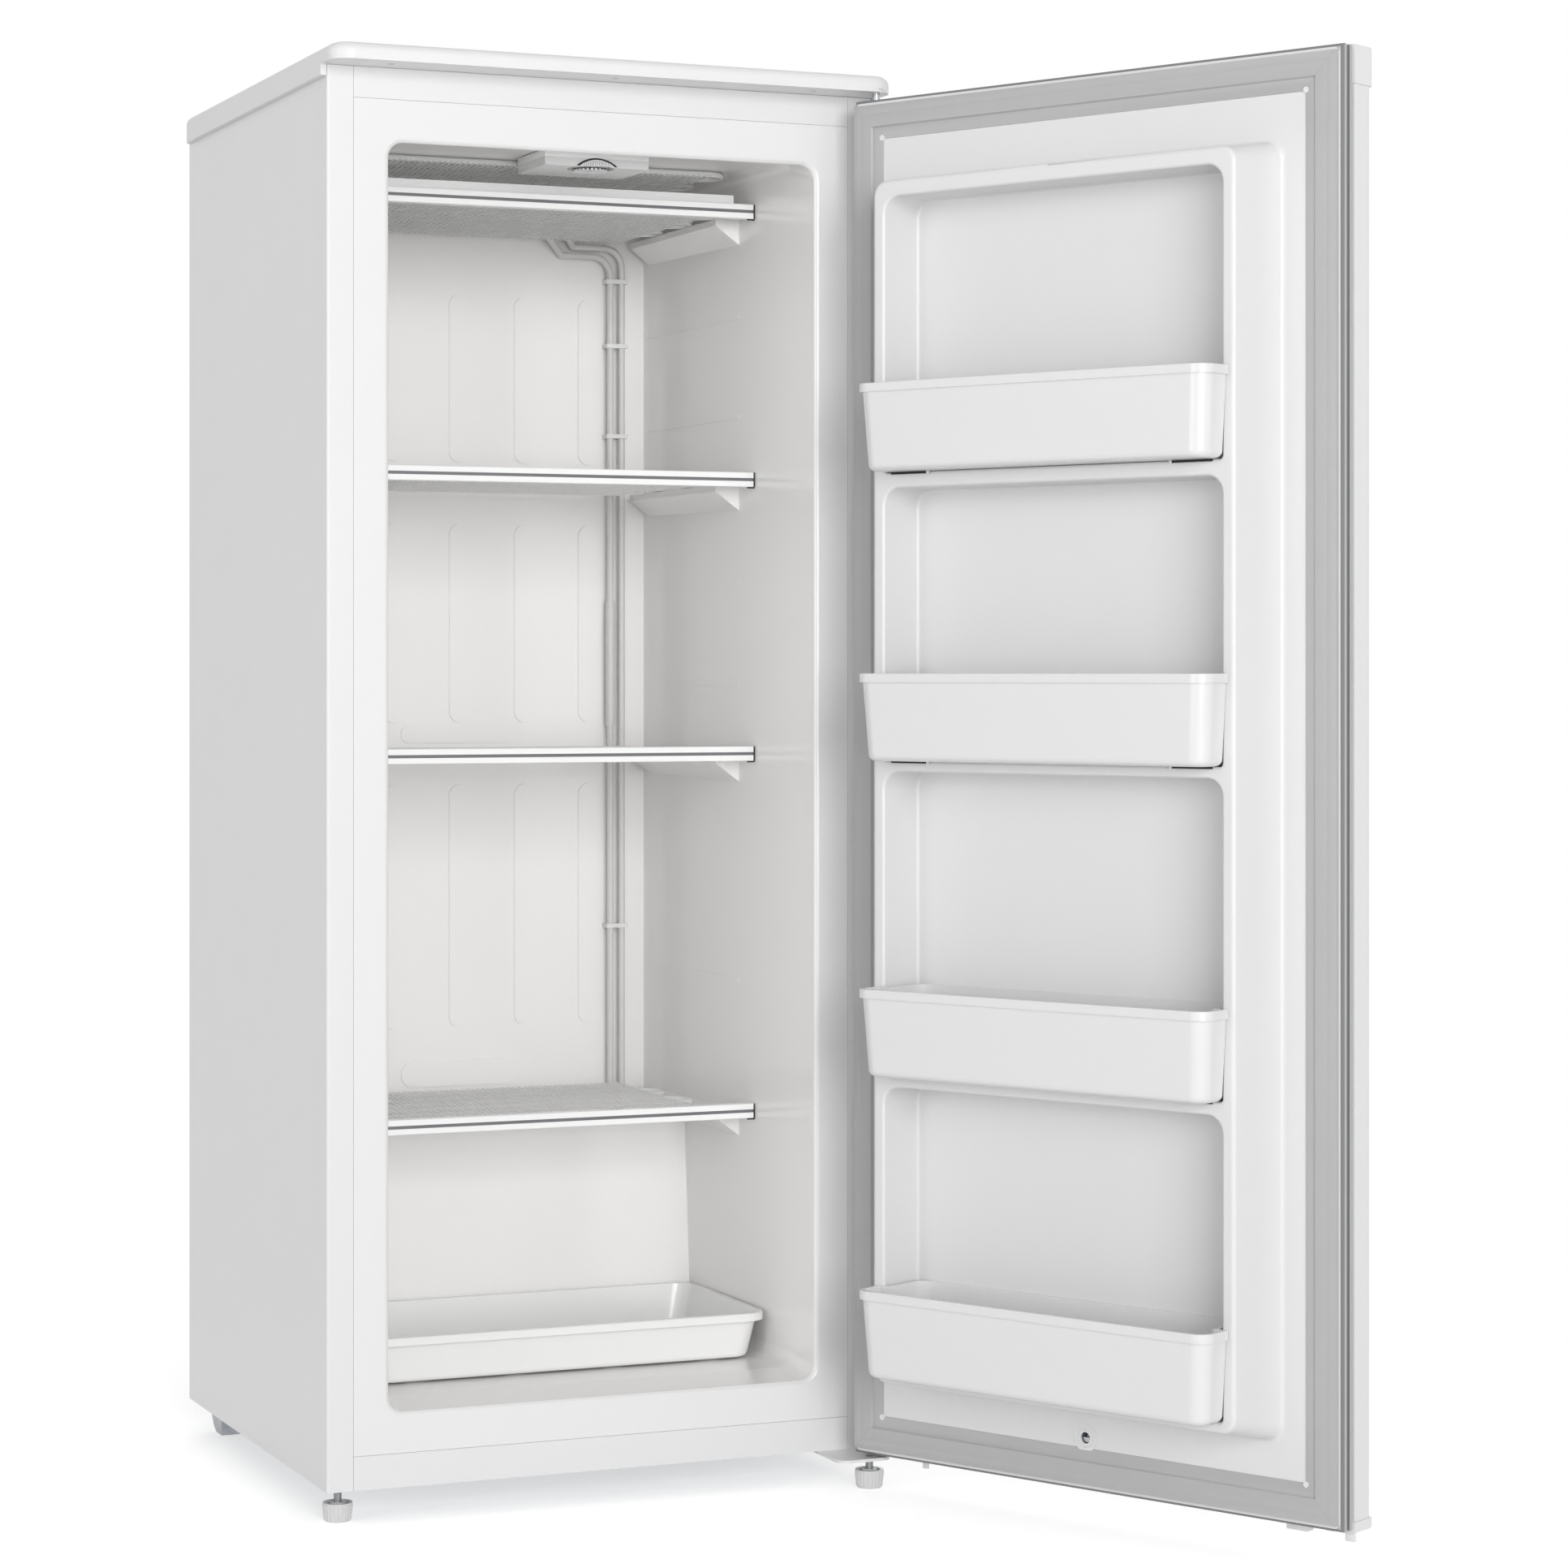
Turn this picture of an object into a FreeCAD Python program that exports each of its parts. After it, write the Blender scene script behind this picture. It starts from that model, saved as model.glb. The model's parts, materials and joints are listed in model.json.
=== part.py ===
import FreeCAD, Part
import math
import os

V = FreeCAD.Vector

# Upright freezer, millimetres.  X runs left to right, Y from the cabinet's front plane to
# its back, Z up from the floor.  X = 0 is the middle of the cabinet, Y = 0 its front plane.
# The door is modelled shut and then swung about its hinge pin to the angle it rests at.

# ---- cabinet ------------------------------------------------------------------------
CAB_W = 600.0            # over the two side panels
CAB_D = 555.0            # side panels, front plane to back
CAB_Z0 = 32.5            # lower edge of the cabinet above the floor
CAB_Z1 = 1468.0          # upper edge, where the top cover lies
SHEET = 1.0              # enamelled steel sheet
STRIP_W = 27.6           # front strip that each side panel folds into
RAIL_TOP_H = 31.6        # front rail above the liner
RAIL_BOT_H = 34.4        # front rail below the liner
SEAM = 0.3               # gap at a seam between two sheets
EPS = 1e-4               # how near an edge counts as lying in a plane
SEAT = 0.1               # gap under a piece that lies on another
FIT = 0.3                # gap between pieces that only lie near each other
SIDE_INSET = 3.0         # inner sheets stop short of the side panels' bent corners
LINER_T = 1.5            # vacuum-formed liner wall

# ---- storage space ------------------------------------------------------------------
WALL_SIDE = 65.5         # cabinet side to the liner's mouth
WALL_BOTTOM = 76.0
WALL_TOP = 74.5
WALL_BACK = 70.0
BACK_DRAFT = 8.5         # each side wall leans in by this much towards the back
LIP_UP = 4.5             # floor above the mouth's lower edge
LIP_DOWN = 12.5          # ceiling above the mouth's upper edge
STEP_Y = 60.0            # where the lip ends and floor and ceiling run level
ROLL_R = 5.0             # rolled lip round the mouth
CORNER_R = 16.0          # corners of the mouth
PAD_W = 27.0             # raised pads on the back wall
PAD_SIDE = 68.6          # middle of the outermost pad to the side wall
PAD_T = 2.0
PAD_TOP = (70.0, 40.0, 40.0)       # pads stop this far under the shelf above them
PAD_BOTTOM = (30.0, 31.0, 72.0)    # and start this far over the shelf below
CROSS_PAD_HALF = 71.0    # flat pads that lie across, over the two lower shelves
CROSS_PAD_UP = ((8.0, 28.5), (5.2, 35.2))
WALL_RIB_T = 0.8         # faint ribs along the side walls
WALL_RIB_H = 5.0
WALL_RIB_Y0 = 200.0
WALL_RIB_BACK = 9.0
WALL_RIB_DOWN = (111.5, 221.5, 405.5, 516.5)   # under the top shelf
WALL_RIB_UP = 140.0                            # and over the lowest one
OPEN_HALF = CAB_W / 2 - WALL_SIDE
OPEN_Z0 = CAB_Z0 + WALL_BOTTOM
OPEN_Z1 = CAB_Z1 - WALL_TOP
CAVITY_D = CAB_D - WALL_BACK
BACK_HALF = OPEN_HALF - BACK_DRAFT
FLOOR_Z = OPEN_Z0 + LIP_UP
CEIL_Z = OPEN_Z1 + LIP_DOWN
LIP_D = ROLL_R + LINER_T           # straight part of the mouth
PAD_PITCH = (BACK_HALF - PAD_SIDE) / 2

# ---- machine bay --------------------------------------------------------------------
BAY_D = 149.0
BAY_Z = 300.0
HUMP_LEAD = 46.0         # hump in front of the bay, at its top
HUMP_SLOPE = 18.0        # and how much further forward it is at the floor
HUMP_UP = 50.0           # top of the hump over the bay's roof
BASE_T = 1.2
RAIL_T = 2.0
RAIL_LIP = 25.0
COMP_R = 62.0
COMP_X = -70.0
COMP_BACK = 75.0         # compressor's axis in front of the cabinet's back
COMP_H = 165.0
COMP_DOME_R = 34.0
COMP_SEAM_UP = 90.75
COMP_SEAM_H = 5.0
COMP_SEAM_OUT = 2.0
COMP_FOOT_T = 3.0
COMP_FOOT_OUT = 10.0     # grommets beside the can
COMP_FOOT_Y = 45.0
COMP_FOOT_EDGE = 12.0    # foot plate round the grommets
GROMMET_H = 14.0
GROMMET_R = 9.0
GROMMET_NECK_R = 3.1
STARTER = (34.0, 56.0, 70.0)
STARTER_UP = 25.0
DRIER_R = 9.0
DRIER_X = 60.0
DRIER_L = 110.0
DRIER_RISE = 20.0
DRIER_DOWN = 85.0        # its lower end under the bay's roof
SUCTION_R = 3.2
SUCTION_BEND = 18.0
SUCTION_OUT = 60.0
SUCTION_UP = 132.0
COND_R = 2.5
COND_GAP = 0.2
COND_PITCH = 90.0
COND_BEND = 44.5
COND_BOTTOM = 117.5      # lowest turn over the cabinet's lower edge
COND_TOP = 88.0          # highest turn under the cabinet's upper edge
COND_OVER_BAY = 67.5
COND_Y0 = 50.0
CORD_X = 180.0
CORD_R = 9.0
CORD_NECK_R = 5.0
CORD_IN = 8.0
CORD_OUT = 5.0
CORD_FLANGE_T = 3.0
CORD_BORE = 3.6
BAY_Y = CAB_D - BAY_D
HUMP_Y1 = BAY_Y - HUMP_LEAD
HUMP_Y0 = HUMP_Y1 - HUMP_SLOPE
HUMP_Z = BAY_Z + HUMP_UP
COMP_Y = CAB_D - COMP_BACK
COMP_Z = CAB_Z0 + SEAM + RAIL_T + GROMMET_H

# ---- shelves ------------------------------------------------------------------------
SHELF_DOWN = (44.5, 338.0, 638.0)  # the upper shelves' trims under the ceiling
SHELF_OVER_HUMP = 26.8             # the lowest shelf's trim over the hump
TRIM_Y = 158.0
TRIM_D = 14.0
TRIM_H = 16.0
TRIM_T = 1.8
TRIM_GAP = 0.6           # trim end to side wall
TRIM_ROUND = 1.2
STRIPE_H = 3.4
STRIPE_T = 1.0
STRIPE_IN = 0.5
TUBE_R = 3.25            # refrigerant tube in each shelf
TUBE_PITCH = 45.0
TUBE_BEND = 22.25
TUBE_START = 20.0        # first run behind the trim's front
WIRE_R = 0.8
WIRE_PITCH = 12.0
WIRE_START = 4.1         # wires start this far behind the trim's front
MESH_BACK = 23.0         # and stop this far from the back wall
LEDGE_W = 23.0           # side ledges that carry the shelves, measured at the back
LEDGE_Y0 = 203.0
LEDGE_LIP = 7.0
LEDGE_H = 28.0
MESH_SIDE = 20.0         # wire field to the ledge's inner edge
BEND_LAP = 7.0           # the tube's bends reach over the ledges
LIP_H = 10.5             # bar that stands on the top shelf behind its trim
LIP_T = 3.0
LIP_LAP = 9.0
RISER_R = 4.0            # tubes that climb the back right corner
RISER_BACK = 11.0        # their axes in front of the back wall
RISER_SIDE = (46.0, 32.0)          # and from the side wall at the back
RISER_FOOT = 9.5
RISER_RUN = 60.0
RISER_STEP = 10.0
RISER_BEND_R = 22.0
CAPILLARY_SIDE = 33.0
CAPILLARY_R = 1.4
CAPILLARY_BACK = 7.0
CAPILLARY_DOWN = 60.0
CLIP_DOWN = (49.5, 124.5, 229.5)   # clips under the top shelf
CLIP_UP = 212.0                    # and the lowest one over the hump
CLIP_H = 5.0
CLIP_EDGE = 2.0
CLIP_GAP = 0.1
SLEEVE_UP = 27.0
SLEEVE_L = 145.0
SLEEVE_R = 5.6
SHELF_Z = [CEIL_Z - down for down in SHELF_DOWN] + [HUMP_Z + SHELF_OVER_HUMP]
LEDGE_IN = BACK_HALF - LEDGE_W
MESH_HALF = LEDGE_IN - MESH_SIDE
MESH_Y1 = CAVITY_D - MESH_BACK
BEND_X = LEDGE_IN + BEND_LAP
RISER_Y = CAVITY_D - RISER_BACK
RISER_X = [BACK_HALF - side for side in RISER_SIDE]
CAPILLARY_X = BACK_HALF - CAPILLARY_SIDE
CAPILLARY_Y = CAVITY_D - CAPILLARY_BACK
CLIP_Z = [SHELF_Z[0] - down for down in CLIP_DOWN] + [HUMP_Z + CLIP_UP]

# ---- thermostat ---------------------------------------------------------------------
STAT_X0 = -44.0
STAT_W = 117.0
STAT_Y0 = 68.0
STAT_D = 88.0
STAT_H = 8.8
STAT_DROP = 17.5         # lower face under the ceiling
STAT_WALL = 1.6
STAT_ROUND = 2.0
STAT_POST_R = 2.0
STAT_POST_IN = 7.0
STAT_FRONT = 50.0        # solid front part that the dial sits in
SWITCH_W = 44.0
DIAL_X = 14.0
DIAL_IN = 20.0           # dial's axis behind the housing's front
DIAL_R = 18.0
DIAL_T = 3.2
DIAL_TEETH = 40
DIAL_NOTCH_R = 0.7
DIAL_MARK = 1.0
DIAL_RING = 3.0
DIAL_WELL_R = 25.0
DIAL_SHAFT_R = 2.0
RUN_FIT = 0.05           # radial running clearance of shafts and pins
STAT_X1 = STAT_X0 + STAT_W
STAT_Y1 = STAT_Y0 + STAT_D
STAT_Z0 = CEIL_Z - STAT_DROP
DIAL_Y = STAT_Y0 + DIAL_IN

# ---- tray ---------------------------------------------------------------------------
TRAY_Y0 = 107.0
TRAY_BACK = 1.0          # gap to the hump
TRAY_SIDE = 0.5          # gap to the side walls, at the tray's back
TRAY_H = 51.0            # rim over the storage floor
TRAY_WALL = 2.2
TRAY_RIM = 6.0
TRAY_RIM_H = 8.5
TRAY_RIM_T = 2.0
TRAY_TAPER = 11.0
TRAY_TAPER_Y = 5.5
TRAY_FOOT = 1.7
TRAY_FOOT_W = 20.0
TRAY_FOOT_IN = 25.0
TRAY_R = 26.0
TRAY_BOTTOM_R = 6.0
TRAY_Y1 = HUMP_Y0 - TRAY_BACK
TRAY_Z1 = FLOOR_Z + TRAY_H

# ---- feet and hinges ----------------------------------------------------------------
FOOT_R = 15.0
FOOT_H = 18.8
FOOT_TAPER = 2.0
FOOT_ROUND = 1.5
FOOT_WALL = 3.5
FOOT_SOLE = 6.0
FOOT_RIBS = 24
FOOT_RIB_R = 1.0
FOOT_RIB_END = 2.0
STUD_R = 4.0
STUD_UP = 10.0           # stud of the left foot, above the cabinet's lower edge
STUD_DOWN = 0.2          # stud of the right foot, below it
FOOT_LEFT_IN = 17.5      # axes from the cabinet's sides
FOOT_RIGHT_IN = 21.5
FOOT_LEFT_Y = 21.0
FOOT_RIGHT_Y = -42.0
HINGE_T = 3.0
HINGE_W = 62.0
HINGE_UP_Y = (-46.0, 44.0)
HINGE_LOW_Y = (-57.5, 60.0)
HINGE_CORNER = 12.0
HINGE_SCREWS = ((12.0, 32.0), (40.0, 32.0), (26.0, 19.0))
HINGE_SCREW_R = 2.2
HINGE_HEAD_R = 4.2
HINGE_HEAD_H = 2.2
PIN_IN = 9.5             # hinge pin from the cabinet's side
PIN_Y = -33.0
PIN_R = 4.0
BUSH_L = 9.5             # length of each hinge bushing
PIN_L = 8.5              # length of pin inside its bushing
BUSH_R = 7.0
BOSS_R = 11.0
REAR_FOOT_IN = 21.0
REAR_FOOT_W = 30.0
REAR_FOOT_BACK = 65.0
REAR_FOOT_SHAPE = ((0.0, 0.0), (24.0, 0.0), (34.0, 5.0), (43.0, 15.0))
REAR_FOOT_D = 50.0
FOOT_LEFT = (-CAB_W / 2 + FOOT_LEFT_IN, FOOT_LEFT_Y)
FOOT_RIGHT = (CAB_W / 2 - FOOT_RIGHT_IN, FOOT_RIGHT_Y)
HINGE_X0 = CAB_W / 2 - HINGE_W
PIN_X = CAB_W / 2 - PIN_IN

# ---- top cover ----------------------------------------------------------------------
COVER_H = 17.5
COVER_SIDE = 6.5         # overhang at each side
COVER_FRONT = 46.5       # overhang in front of the cabinet
COVER_BACK = 4.0
COVER_SKIRT = 11.2
COVER_R = 9.0            # rounded upper edge
COVER_CORNER = 22.0
COVER_LAND = 12.0
COVER_POCKET = 14.0
COVER_SCREW_IN = 60.0    # left screw from the cabinet's side
COVER_SCREW_GAP = 16.0   # right screw from the hinge plate
COVER_SCREW_Y = -24.0
COVER_HEAD_R = 3.6
COVER_HEAD_H = 2.3
COVER_SHANK_R = 1.6
COVER_SHANK_L = 8.4
COVER_HALF = CAB_W / 2 + COVER_SIDE
COVER_SCREW_X = (-CAB_W / 2 + COVER_SCREW_IN, 0.0, HINGE_X0 - COVER_SCREW_GAP)

# ---- door ---------------------------------------------------------------------------
DOOR_ANGLE = 117.0       # how far the door stands open at rest
DOOR_UNDER = 1.5         # door's lower edge over the cabinet's lower edge
DOOR_CLEAR = 10.0        # door's upper edge under the top cover
SEAL_GAP = 0.4           # gasket face to cabinet front when shut
DOOR_BACK = 6.0          # liner flange in front of the cabinet plane, when shut
DOOR_FRONT = 58.5        # outer skin in front of the cabinet plane
SKIN_RIM = 26.0          # where the skin's side walls end
PAN_BACK = 24.0          # outer edge of the door liner, behind the caps' rims
SKIN_R = 8.0
RETURN_W = 9.0           # strips that the skin and the caps fold in behind the foam
CAP_TOP_H = 37.5
CAP_BOT_H = 10.5
CAP_PROUD = 2.0
CAP_T = 2.4
CAP_R = 9.0
CAP_EDGE_R = 2.0
GASKET_SIDE = 5.5        # gasket inside the door's outline
GASKET_LOW = 9.7
GASKET_HIGH = 7.4
GASKET_BULB = 23.5
GASKET_W = 36.5
GASKET_SKIRT = 1.8
MAGNET_W = 10.0
MAGNET_T = 2.0
MAGNET_BACK = 1.2
PAN_SIDE = 4.0           # door liner's edge inside the door's outline
PAN_LOW = 6.0
PAN_HIGH = 4.0
PAN_R = 6.0
DIKE_H = 60.0            # raised ring of the door liner, into the cabinet
DIKE_SIDE = 2.5          # its foot inside the liner's mouth
DIKE_LEAN = 12.0         # its crest inside its foot, at the sides
DIKE_LOW = (7.0, 21.5)   # foot and crest over the mouth's lower edge
DIKE_HIGH = (25.0, 33.5)           # and under the mouth's upper edge
DIKE_R = 16.0
RECESS_RIM = 14.0        # width of the crest beside the recesses
RECESS_Y = 4.0           # back panel of the recesses
RECESS_TOP_RIM = 16.5    # crest over the top recess
RECESS_SILL = (16.0, 11.5, 13.5)   # liner between a bin's underside and the recess below
RECESS_R = 18.0
LEDGE_R = 4.0            # lower corners of each recess, beside the bin
CREST_R = 4.0            # rounded edge of the crest
ROOT_R = 5.0             # rounded foot of the raised ring
RECESS_BACK_R = 3.5      # rounded edge round the back of each recess
MOUTH_R = 3.0            # rounded edge round the mouth of each recess
DOOR_HALF = CAB_W / 2
DOOR_Z0 = CAB_Z0 + DOOR_UNDER
DOOR_Z1 = CAB_Z1 - DOOR_CLEAR
GASKET_HALF = DOOR_HALF - GASKET_SIDE
GASKET_Z0 = DOOR_Z0 + GASKET_LOW
GASKET_Z1 = DOOR_Z1 - GASKET_HIGH
PAN_HALF = DOOR_HALF - PAN_SIDE
PAN_Z0 = DOOR_Z0 + PAN_LOW
PAN_Z1 = DOOR_Z1 - PAN_HIGH
DIKE_HALF0 = OPEN_HALF - DIKE_SIDE
DIKE_HALF1 = DIKE_HALF0 - DIKE_LEAN
DIKE_Z0 = [OPEN_Z0 + up for up in DIKE_LOW]
DIKE_Z1 = [OPEN_Z1 - down for down in DIKE_HIGH]
RECESS_HALF = DIKE_HALF1 - RECESS_RIM

# ---- door bins ----------------------------------------------------------------------
BIN_DOWN = (332.0, 626.5)          # undersides of the upper bins under the mouth's upper edge
BIN_UP = (338.0, 32.0)             # and of the lower ones over its lower edge
BIN_H = 89.0
BIN_D = 41.0             # bin in front of the crest
BIN_EDGE = 6.5           # bin's rim inside the crest's outer edge
BIN_TAPER = 5.0
BIN_WALL = 2.2
BIN_RIM_H = 9.0
BIN_RIM_T = 2.0
BIN_R = 16.0
BIN_FOOT_R = 7.0         # rounded lower edge
BIN_PLAY = 6.0           # bin to the sides of its recess
BIN_SEAT = 0.3
BIN_Z = [OPEN_Z1 - down for down in BIN_DOWN] + [OPEN_Z0 + up for up in BIN_UP]
BIN_HALF = DIKE_HALF1 - BIN_EDGE
BIN_INNER_HALF = RECESS_HALF - BIN_PLAY
BIN_FRONT = DIKE_H + BIN_D
RECESS_TOP = [DIKE_Z1[1] - RECESS_TOP_RIM] + [z - sill for z, sill in zip(BIN_Z, RECESS_SILL)]

# ---- lock ---------------------------------------------------------------------------
LOCK_UP = 56.0           # lock over the door's lower edge
LOCK_R = 10.0
LOCK_BOSS_R = 9.0        # raised ring round the lock's hole in the door liner
LOCK_BOSS_H = 1.2
LOCK_BORE = 5.8
LOCK_FLANGE_R = 13.0
LOCK_FLANGE_T = 1.5
LOCK_CAM_L = 10.0
LOCK_CAM_IN = 2.0
LOCK_CAM_STEP = 3.0
KEY_W = 1.4
KEY_H = 6.0
KEY_D = 14.0
LOCK_Z = DOOR_Z0 + LOCK_UP


# ---- helpers ------------------------------------------------------------------------
def box(x0, x1, y0, y1, z0, z1):
    """Block between two corners."""
    return Part.makeBox(x1 - x0, y1 - y0, z1 - z0, V(x0, y0, z0))


def rod(start, end, radius):
    """Round bar between two points."""
    run = end - start
    return Part.makeCylinder(radius, run.Length, start, run)


def rounded(a0, a1, b0, b1, radius, place):
    """Closed wire of a rectangle with round corners; place(a, b) gives its points."""
    lean = radius * (1 - math.sqrt(0.5))
    edges = []
    corners = ((a0, b0, 1, 1), (a1, b0, -1, 1), (a1, b1, -1, -1), (a0, b1, 1, -1))
    for i, (a, b, sa, sb) in enumerate(corners):
        along_a = place(a + sa * radius, b)
        along_b = place(a, b + sb * radius)
        middle = place(a + sa * lean, b + sb * lean)
        first, last = (along_b, along_a) if i % 2 == 0 else (along_a, along_b)
        edges.append(Part.Arc(first, middle, last).toShape())
    lines = []
    for i in range(4):
        p = edges[i].Vertexes[-1].Point
        q = edges[(i + 1) % 4].Vertexes[0].Point
        lines.append(Part.makeLine(p, q))
    ring = [e for pair in zip(edges, lines) for e in pair]
    return Part.Wire(ring)


def upright(x0, x1, z0, z1, radius, y):
    """Rounded rectangle that stands in the plane Y = y."""
    return rounded(x0, x1, z0, z1, radius, lambda a, b: V(a, y, b))


def level(x0, x1, y0, y1, radius, z):
    """Rounded rectangle that lies in the plane Z = z."""
    return rounded(x0, x1, y0, y1, radius, lambda a, b: V(a, b, z))


def loft(*wires):
    """Solid with straight sides through the wires."""
    return Part.makeLoft(list(wires), True, True)


def slab(wire, direction):
    """Wire filled and pushed along a direction."""
    return Part.Face(wire).extrude(direction)


def prism(points, direction):
    """Polygon pushed along a direction."""
    return slab(Part.makePolygon(points + points[:1]), direction)


def tube(points, bend, radius):
    """Round bar along straight runs with a tangent arc at each inner point."""
    edges = []
    start = points[0]
    for i in range(1, len(points) - 1):
        back = (points[i - 1] - points[i]).normalize()
        ahead = (points[i + 1] - points[i]).normalize()
        half = back.getAngle(ahead) / 2
        cut = bend / math.tan(half)
        centre = points[i] + (back + ahead).normalize() * (bend / math.sin(half))
        p = points[i] + back * cut
        q = points[i] + ahead * cut
        middle = centre + (points[i] - centre).normalize() * bend
        if (p - start).Length > 1e-6:
            edges.append(Part.makeLine(start, p))
        edges.append(Part.Arc(p, middle, q).toShape())
        start = q
    if (points[-1] - start).Length > 1e-6:
        edges.append(Part.makeLine(start, points[-1]))
    path = Part.Wire(edges)
    ring = Part.Wire(Part.makeCircle(radius, points[0], points[1] - points[0]))
    return path.makePipeShell([ring], True, False)


def fuse(first, *others):
    """One solid from several that touch or overlap."""
    return first.fuse(list(others)).removeSplitter()


def edges_along(shape, axis, test=lambda edge: True):
    """Straight edges parallel to an axis that pass a test."""
    found = []
    for edge in shape.Edges:
        if isinstance(edge.Curve, Part.Line) and test(edge):
            run = edge.Vertexes[-1].Point - edge.Vertexes[0].Point
            if abs(abs(run.normalize() * axis) - 1) < 1e-6:
                found.append(edge)
    return found


def edges_at(shape, y, half=CAB_W):
    """Edges in the plane Y = y, within a width."""
    found = []
    for edge in shape.Edges:
        room = edge.BoundBox
        level_edge = abs(room.YMin - y) < EPS and abs(room.YMax - y) < EPS
        if level_edge and room.XMin > -half - EPS and room.XMax < half + EPS:
            found.append(edge)
    return found


def round_upright(shape, radius, test=lambda edge: True):
    """Round the upright edges that pass a test."""
    return shape.makeFillet(radius, edges_along(shape, V(0, 0, 1), test))


def swing(shape):
    """Turn a door piece from shut to the angle it rests at."""
    turned = shape.copy()
    turned.rotate(V(PIN_X, PIN_Y, 0), V(0, 0, 1), DOOR_ANGLE)
    return turned


# ---- cabinet shell ------------------------------------------------------------------
def side_panel(side):
    """Steel side with folded front and back strips; side is -1 left, 1 right."""
    half = CAB_W / 2
    outer = box(0, STRIP_W, 0, CAB_D, CAB_Z0, CAB_Z1 - SEAM)
    outer = round_upright(outer, 2.5 * SHEET, lambda e: e.CenterOfMass.x < SHEET)
    inner = box(SHEET, STRIP_W + SHEET, SHEET, CAB_D - SHEET, 0, CAB_Z1 + SHEET)
    inner = round_upright(inner, 1.5 * SHEET, lambda e: e.CenterOfMass.x < 2 * SHEET)
    panel = outer.cut(inner)
    panel.translate(V(-half, 0, 0))
    if side > 0:
        panel = panel.mirror(V(0, 0, 0), V(1, 0, 0))
    return panel


def front_rail(z0, z1, lip_z):
    """Front strip between the side panels with a folded lip at the height lip_z."""
    half = CAB_W / 2 - STRIP_W - SEAM
    face = box(-half, half, 0, SHEET, z0, z1)
    lip = box(-half, half, 0, 4 * LINER_T, lip_z, lip_z + SHEET)
    return fuse(face, lip)


def back_panel():
    """Flat sheet between the back strips, above the machine bay."""
    half = CAB_W / 2 - SIDE_INSET
    return box(-half, half, CAB_D - 2 * SHEET, CAB_D - SHEET, BAY_Z, CAB_Z1 - SEAM)


def base_plate():
    """Flat sheet that closes the insulated box from below."""
    half = CAB_W / 2 - SIDE_INSET
    plate = box(-half, half, 5 * LINER_T, BAY_Y - SEAM, CAB_Z0 + SEAM, CAB_Z0 + SEAM + BASE_T)
    return plate.cut(stud_hole(RUN_FIT))


def stud_hole(gap):
    """Hole round the left front foot's stud."""
    x, y = FOOT_LEFT
    return rod(V(x, y, 0), V(x, y, CAB_Z0 + STUD_UP + 1), STUD_R + gap)


def top_plate():
    """Top sheet of the cabinet, under the moulded cover."""
    half = CAB_W / 2 - SIDE_INSET
    return box(-half, half, 4 * LINER_T + SEAM, CAB_D - 2 * SHEET, CAB_Z1 - SEAM - SHEET, CAB_Z1 - SEAM)


def bay_wall():
    """Bent sheet: front and roof of the machine bay."""
    half = CAB_W / 2 - SIDE_INSET
    front = box(-half, half, BAY_Y, BAY_Y + SHEET, CAB_Z0 + SEAM + RAIL_T, BAY_Z)
    roof = box(-half, half, BAY_Y, CAB_D - 2 * SHEET, BAY_Z - SHEET, BAY_Z)
    return fuse(front, roof)


def machine_rail():
    """Floor of the machine bay, with a rear lip that the cord gland sits in."""
    half = CAB_W / 2 - SIDE_INSET
    z0 = CAB_Z0 + SEAM
    y1 = CAB_D - SHEET - SEAM
    plate = box(-half, half, BAY_Y, y1, z0, z0 + RAIL_T)
    lip = box(-half, half, y1 - RAIL_T, y1, z0, z0 + RAIL_LIP)
    hole = rod(V(CORD_X, y1 - RAIL_T, cord_z()), V(CORD_X, y1, cord_z()), CORD_NECK_R)
    return fuse(plate, lip).cut(hole)


def cord_z():
    """Height of the cord gland."""
    return CAB_Z0 + SEAM + RAIL_T + (RAIL_LIP - RAIL_T) / 2


def cavity(grow):
    """Storage space, larger by grow on every side."""
    def ring(half, z0, z1, y):
        return upright(-half - grow, half + grow, z0 - grow, z1 + grow, CORNER_R + grow, y)

    start = ring(OPEN_HALF, OPEN_Z0, OPEN_Z1, -1)
    mouth = ring(OPEN_HALF, OPEN_Z0, OPEN_Z1, LIP_D)
    step = ring(wall_x(STEP_Y), FLOOR_Z, CEIL_Z, STEP_Y)
    back = ring(BACK_HALF, FLOOR_Z, CEIL_Z, CAVITY_D + grow)
    space = fuse(loft(start, mouth), loft(mouth, step), loft(step, back))
    return space.cut(hump(-grow))


def hump(grow):
    """Block that the machine bay takes out of the storage space."""
    half = CAB_W / 2
    low = CAB_Z0
    slope = (HUMP_Y1 - HUMP_Y0) / (HUMP_Z - FLOOR_Z)
    foot = HUMP_Y0 - grow - slope * (FLOOR_Z - low)
    head = HUMP_Y1 - grow + slope * grow
    points = [V(-half, foot, low), V(-half, head, HUMP_Z + grow)]
    points += [V(-half, CAB_D, HUMP_Z + grow), V(-half, CAB_D, low)]
    return prism(points, V(2 * half, 0, 0))


def wall_x(y):
    """Half width of the storage space at a depth."""
    return OPEN_HALF - BACK_DRAFT * y / CAVITY_D


def ledge(side, z):
    """Side ledge under a shelf: flat top, sloping underside."""
    y1 = CAVITY_D - CORNER_R
    deep = wall_x(LEDGE_Y0) + LINER_T / 2
    points = [V(LEDGE_IN, LEDGE_Y0, z), V(deep, LEDGE_Y0, z)]
    points += [V(deep, LEDGE_Y0, z - LEDGE_H), V(LEDGE_IN, LEDGE_Y0, z - LEDGE_LIP)]
    solid = prism(points, V(0, y1 - LEDGE_Y0, 0)).common(cavity_side_mask)
    return solid if side > 0 else solid.mirror(V(0, 0, 0), V(1, 0, 0))


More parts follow.
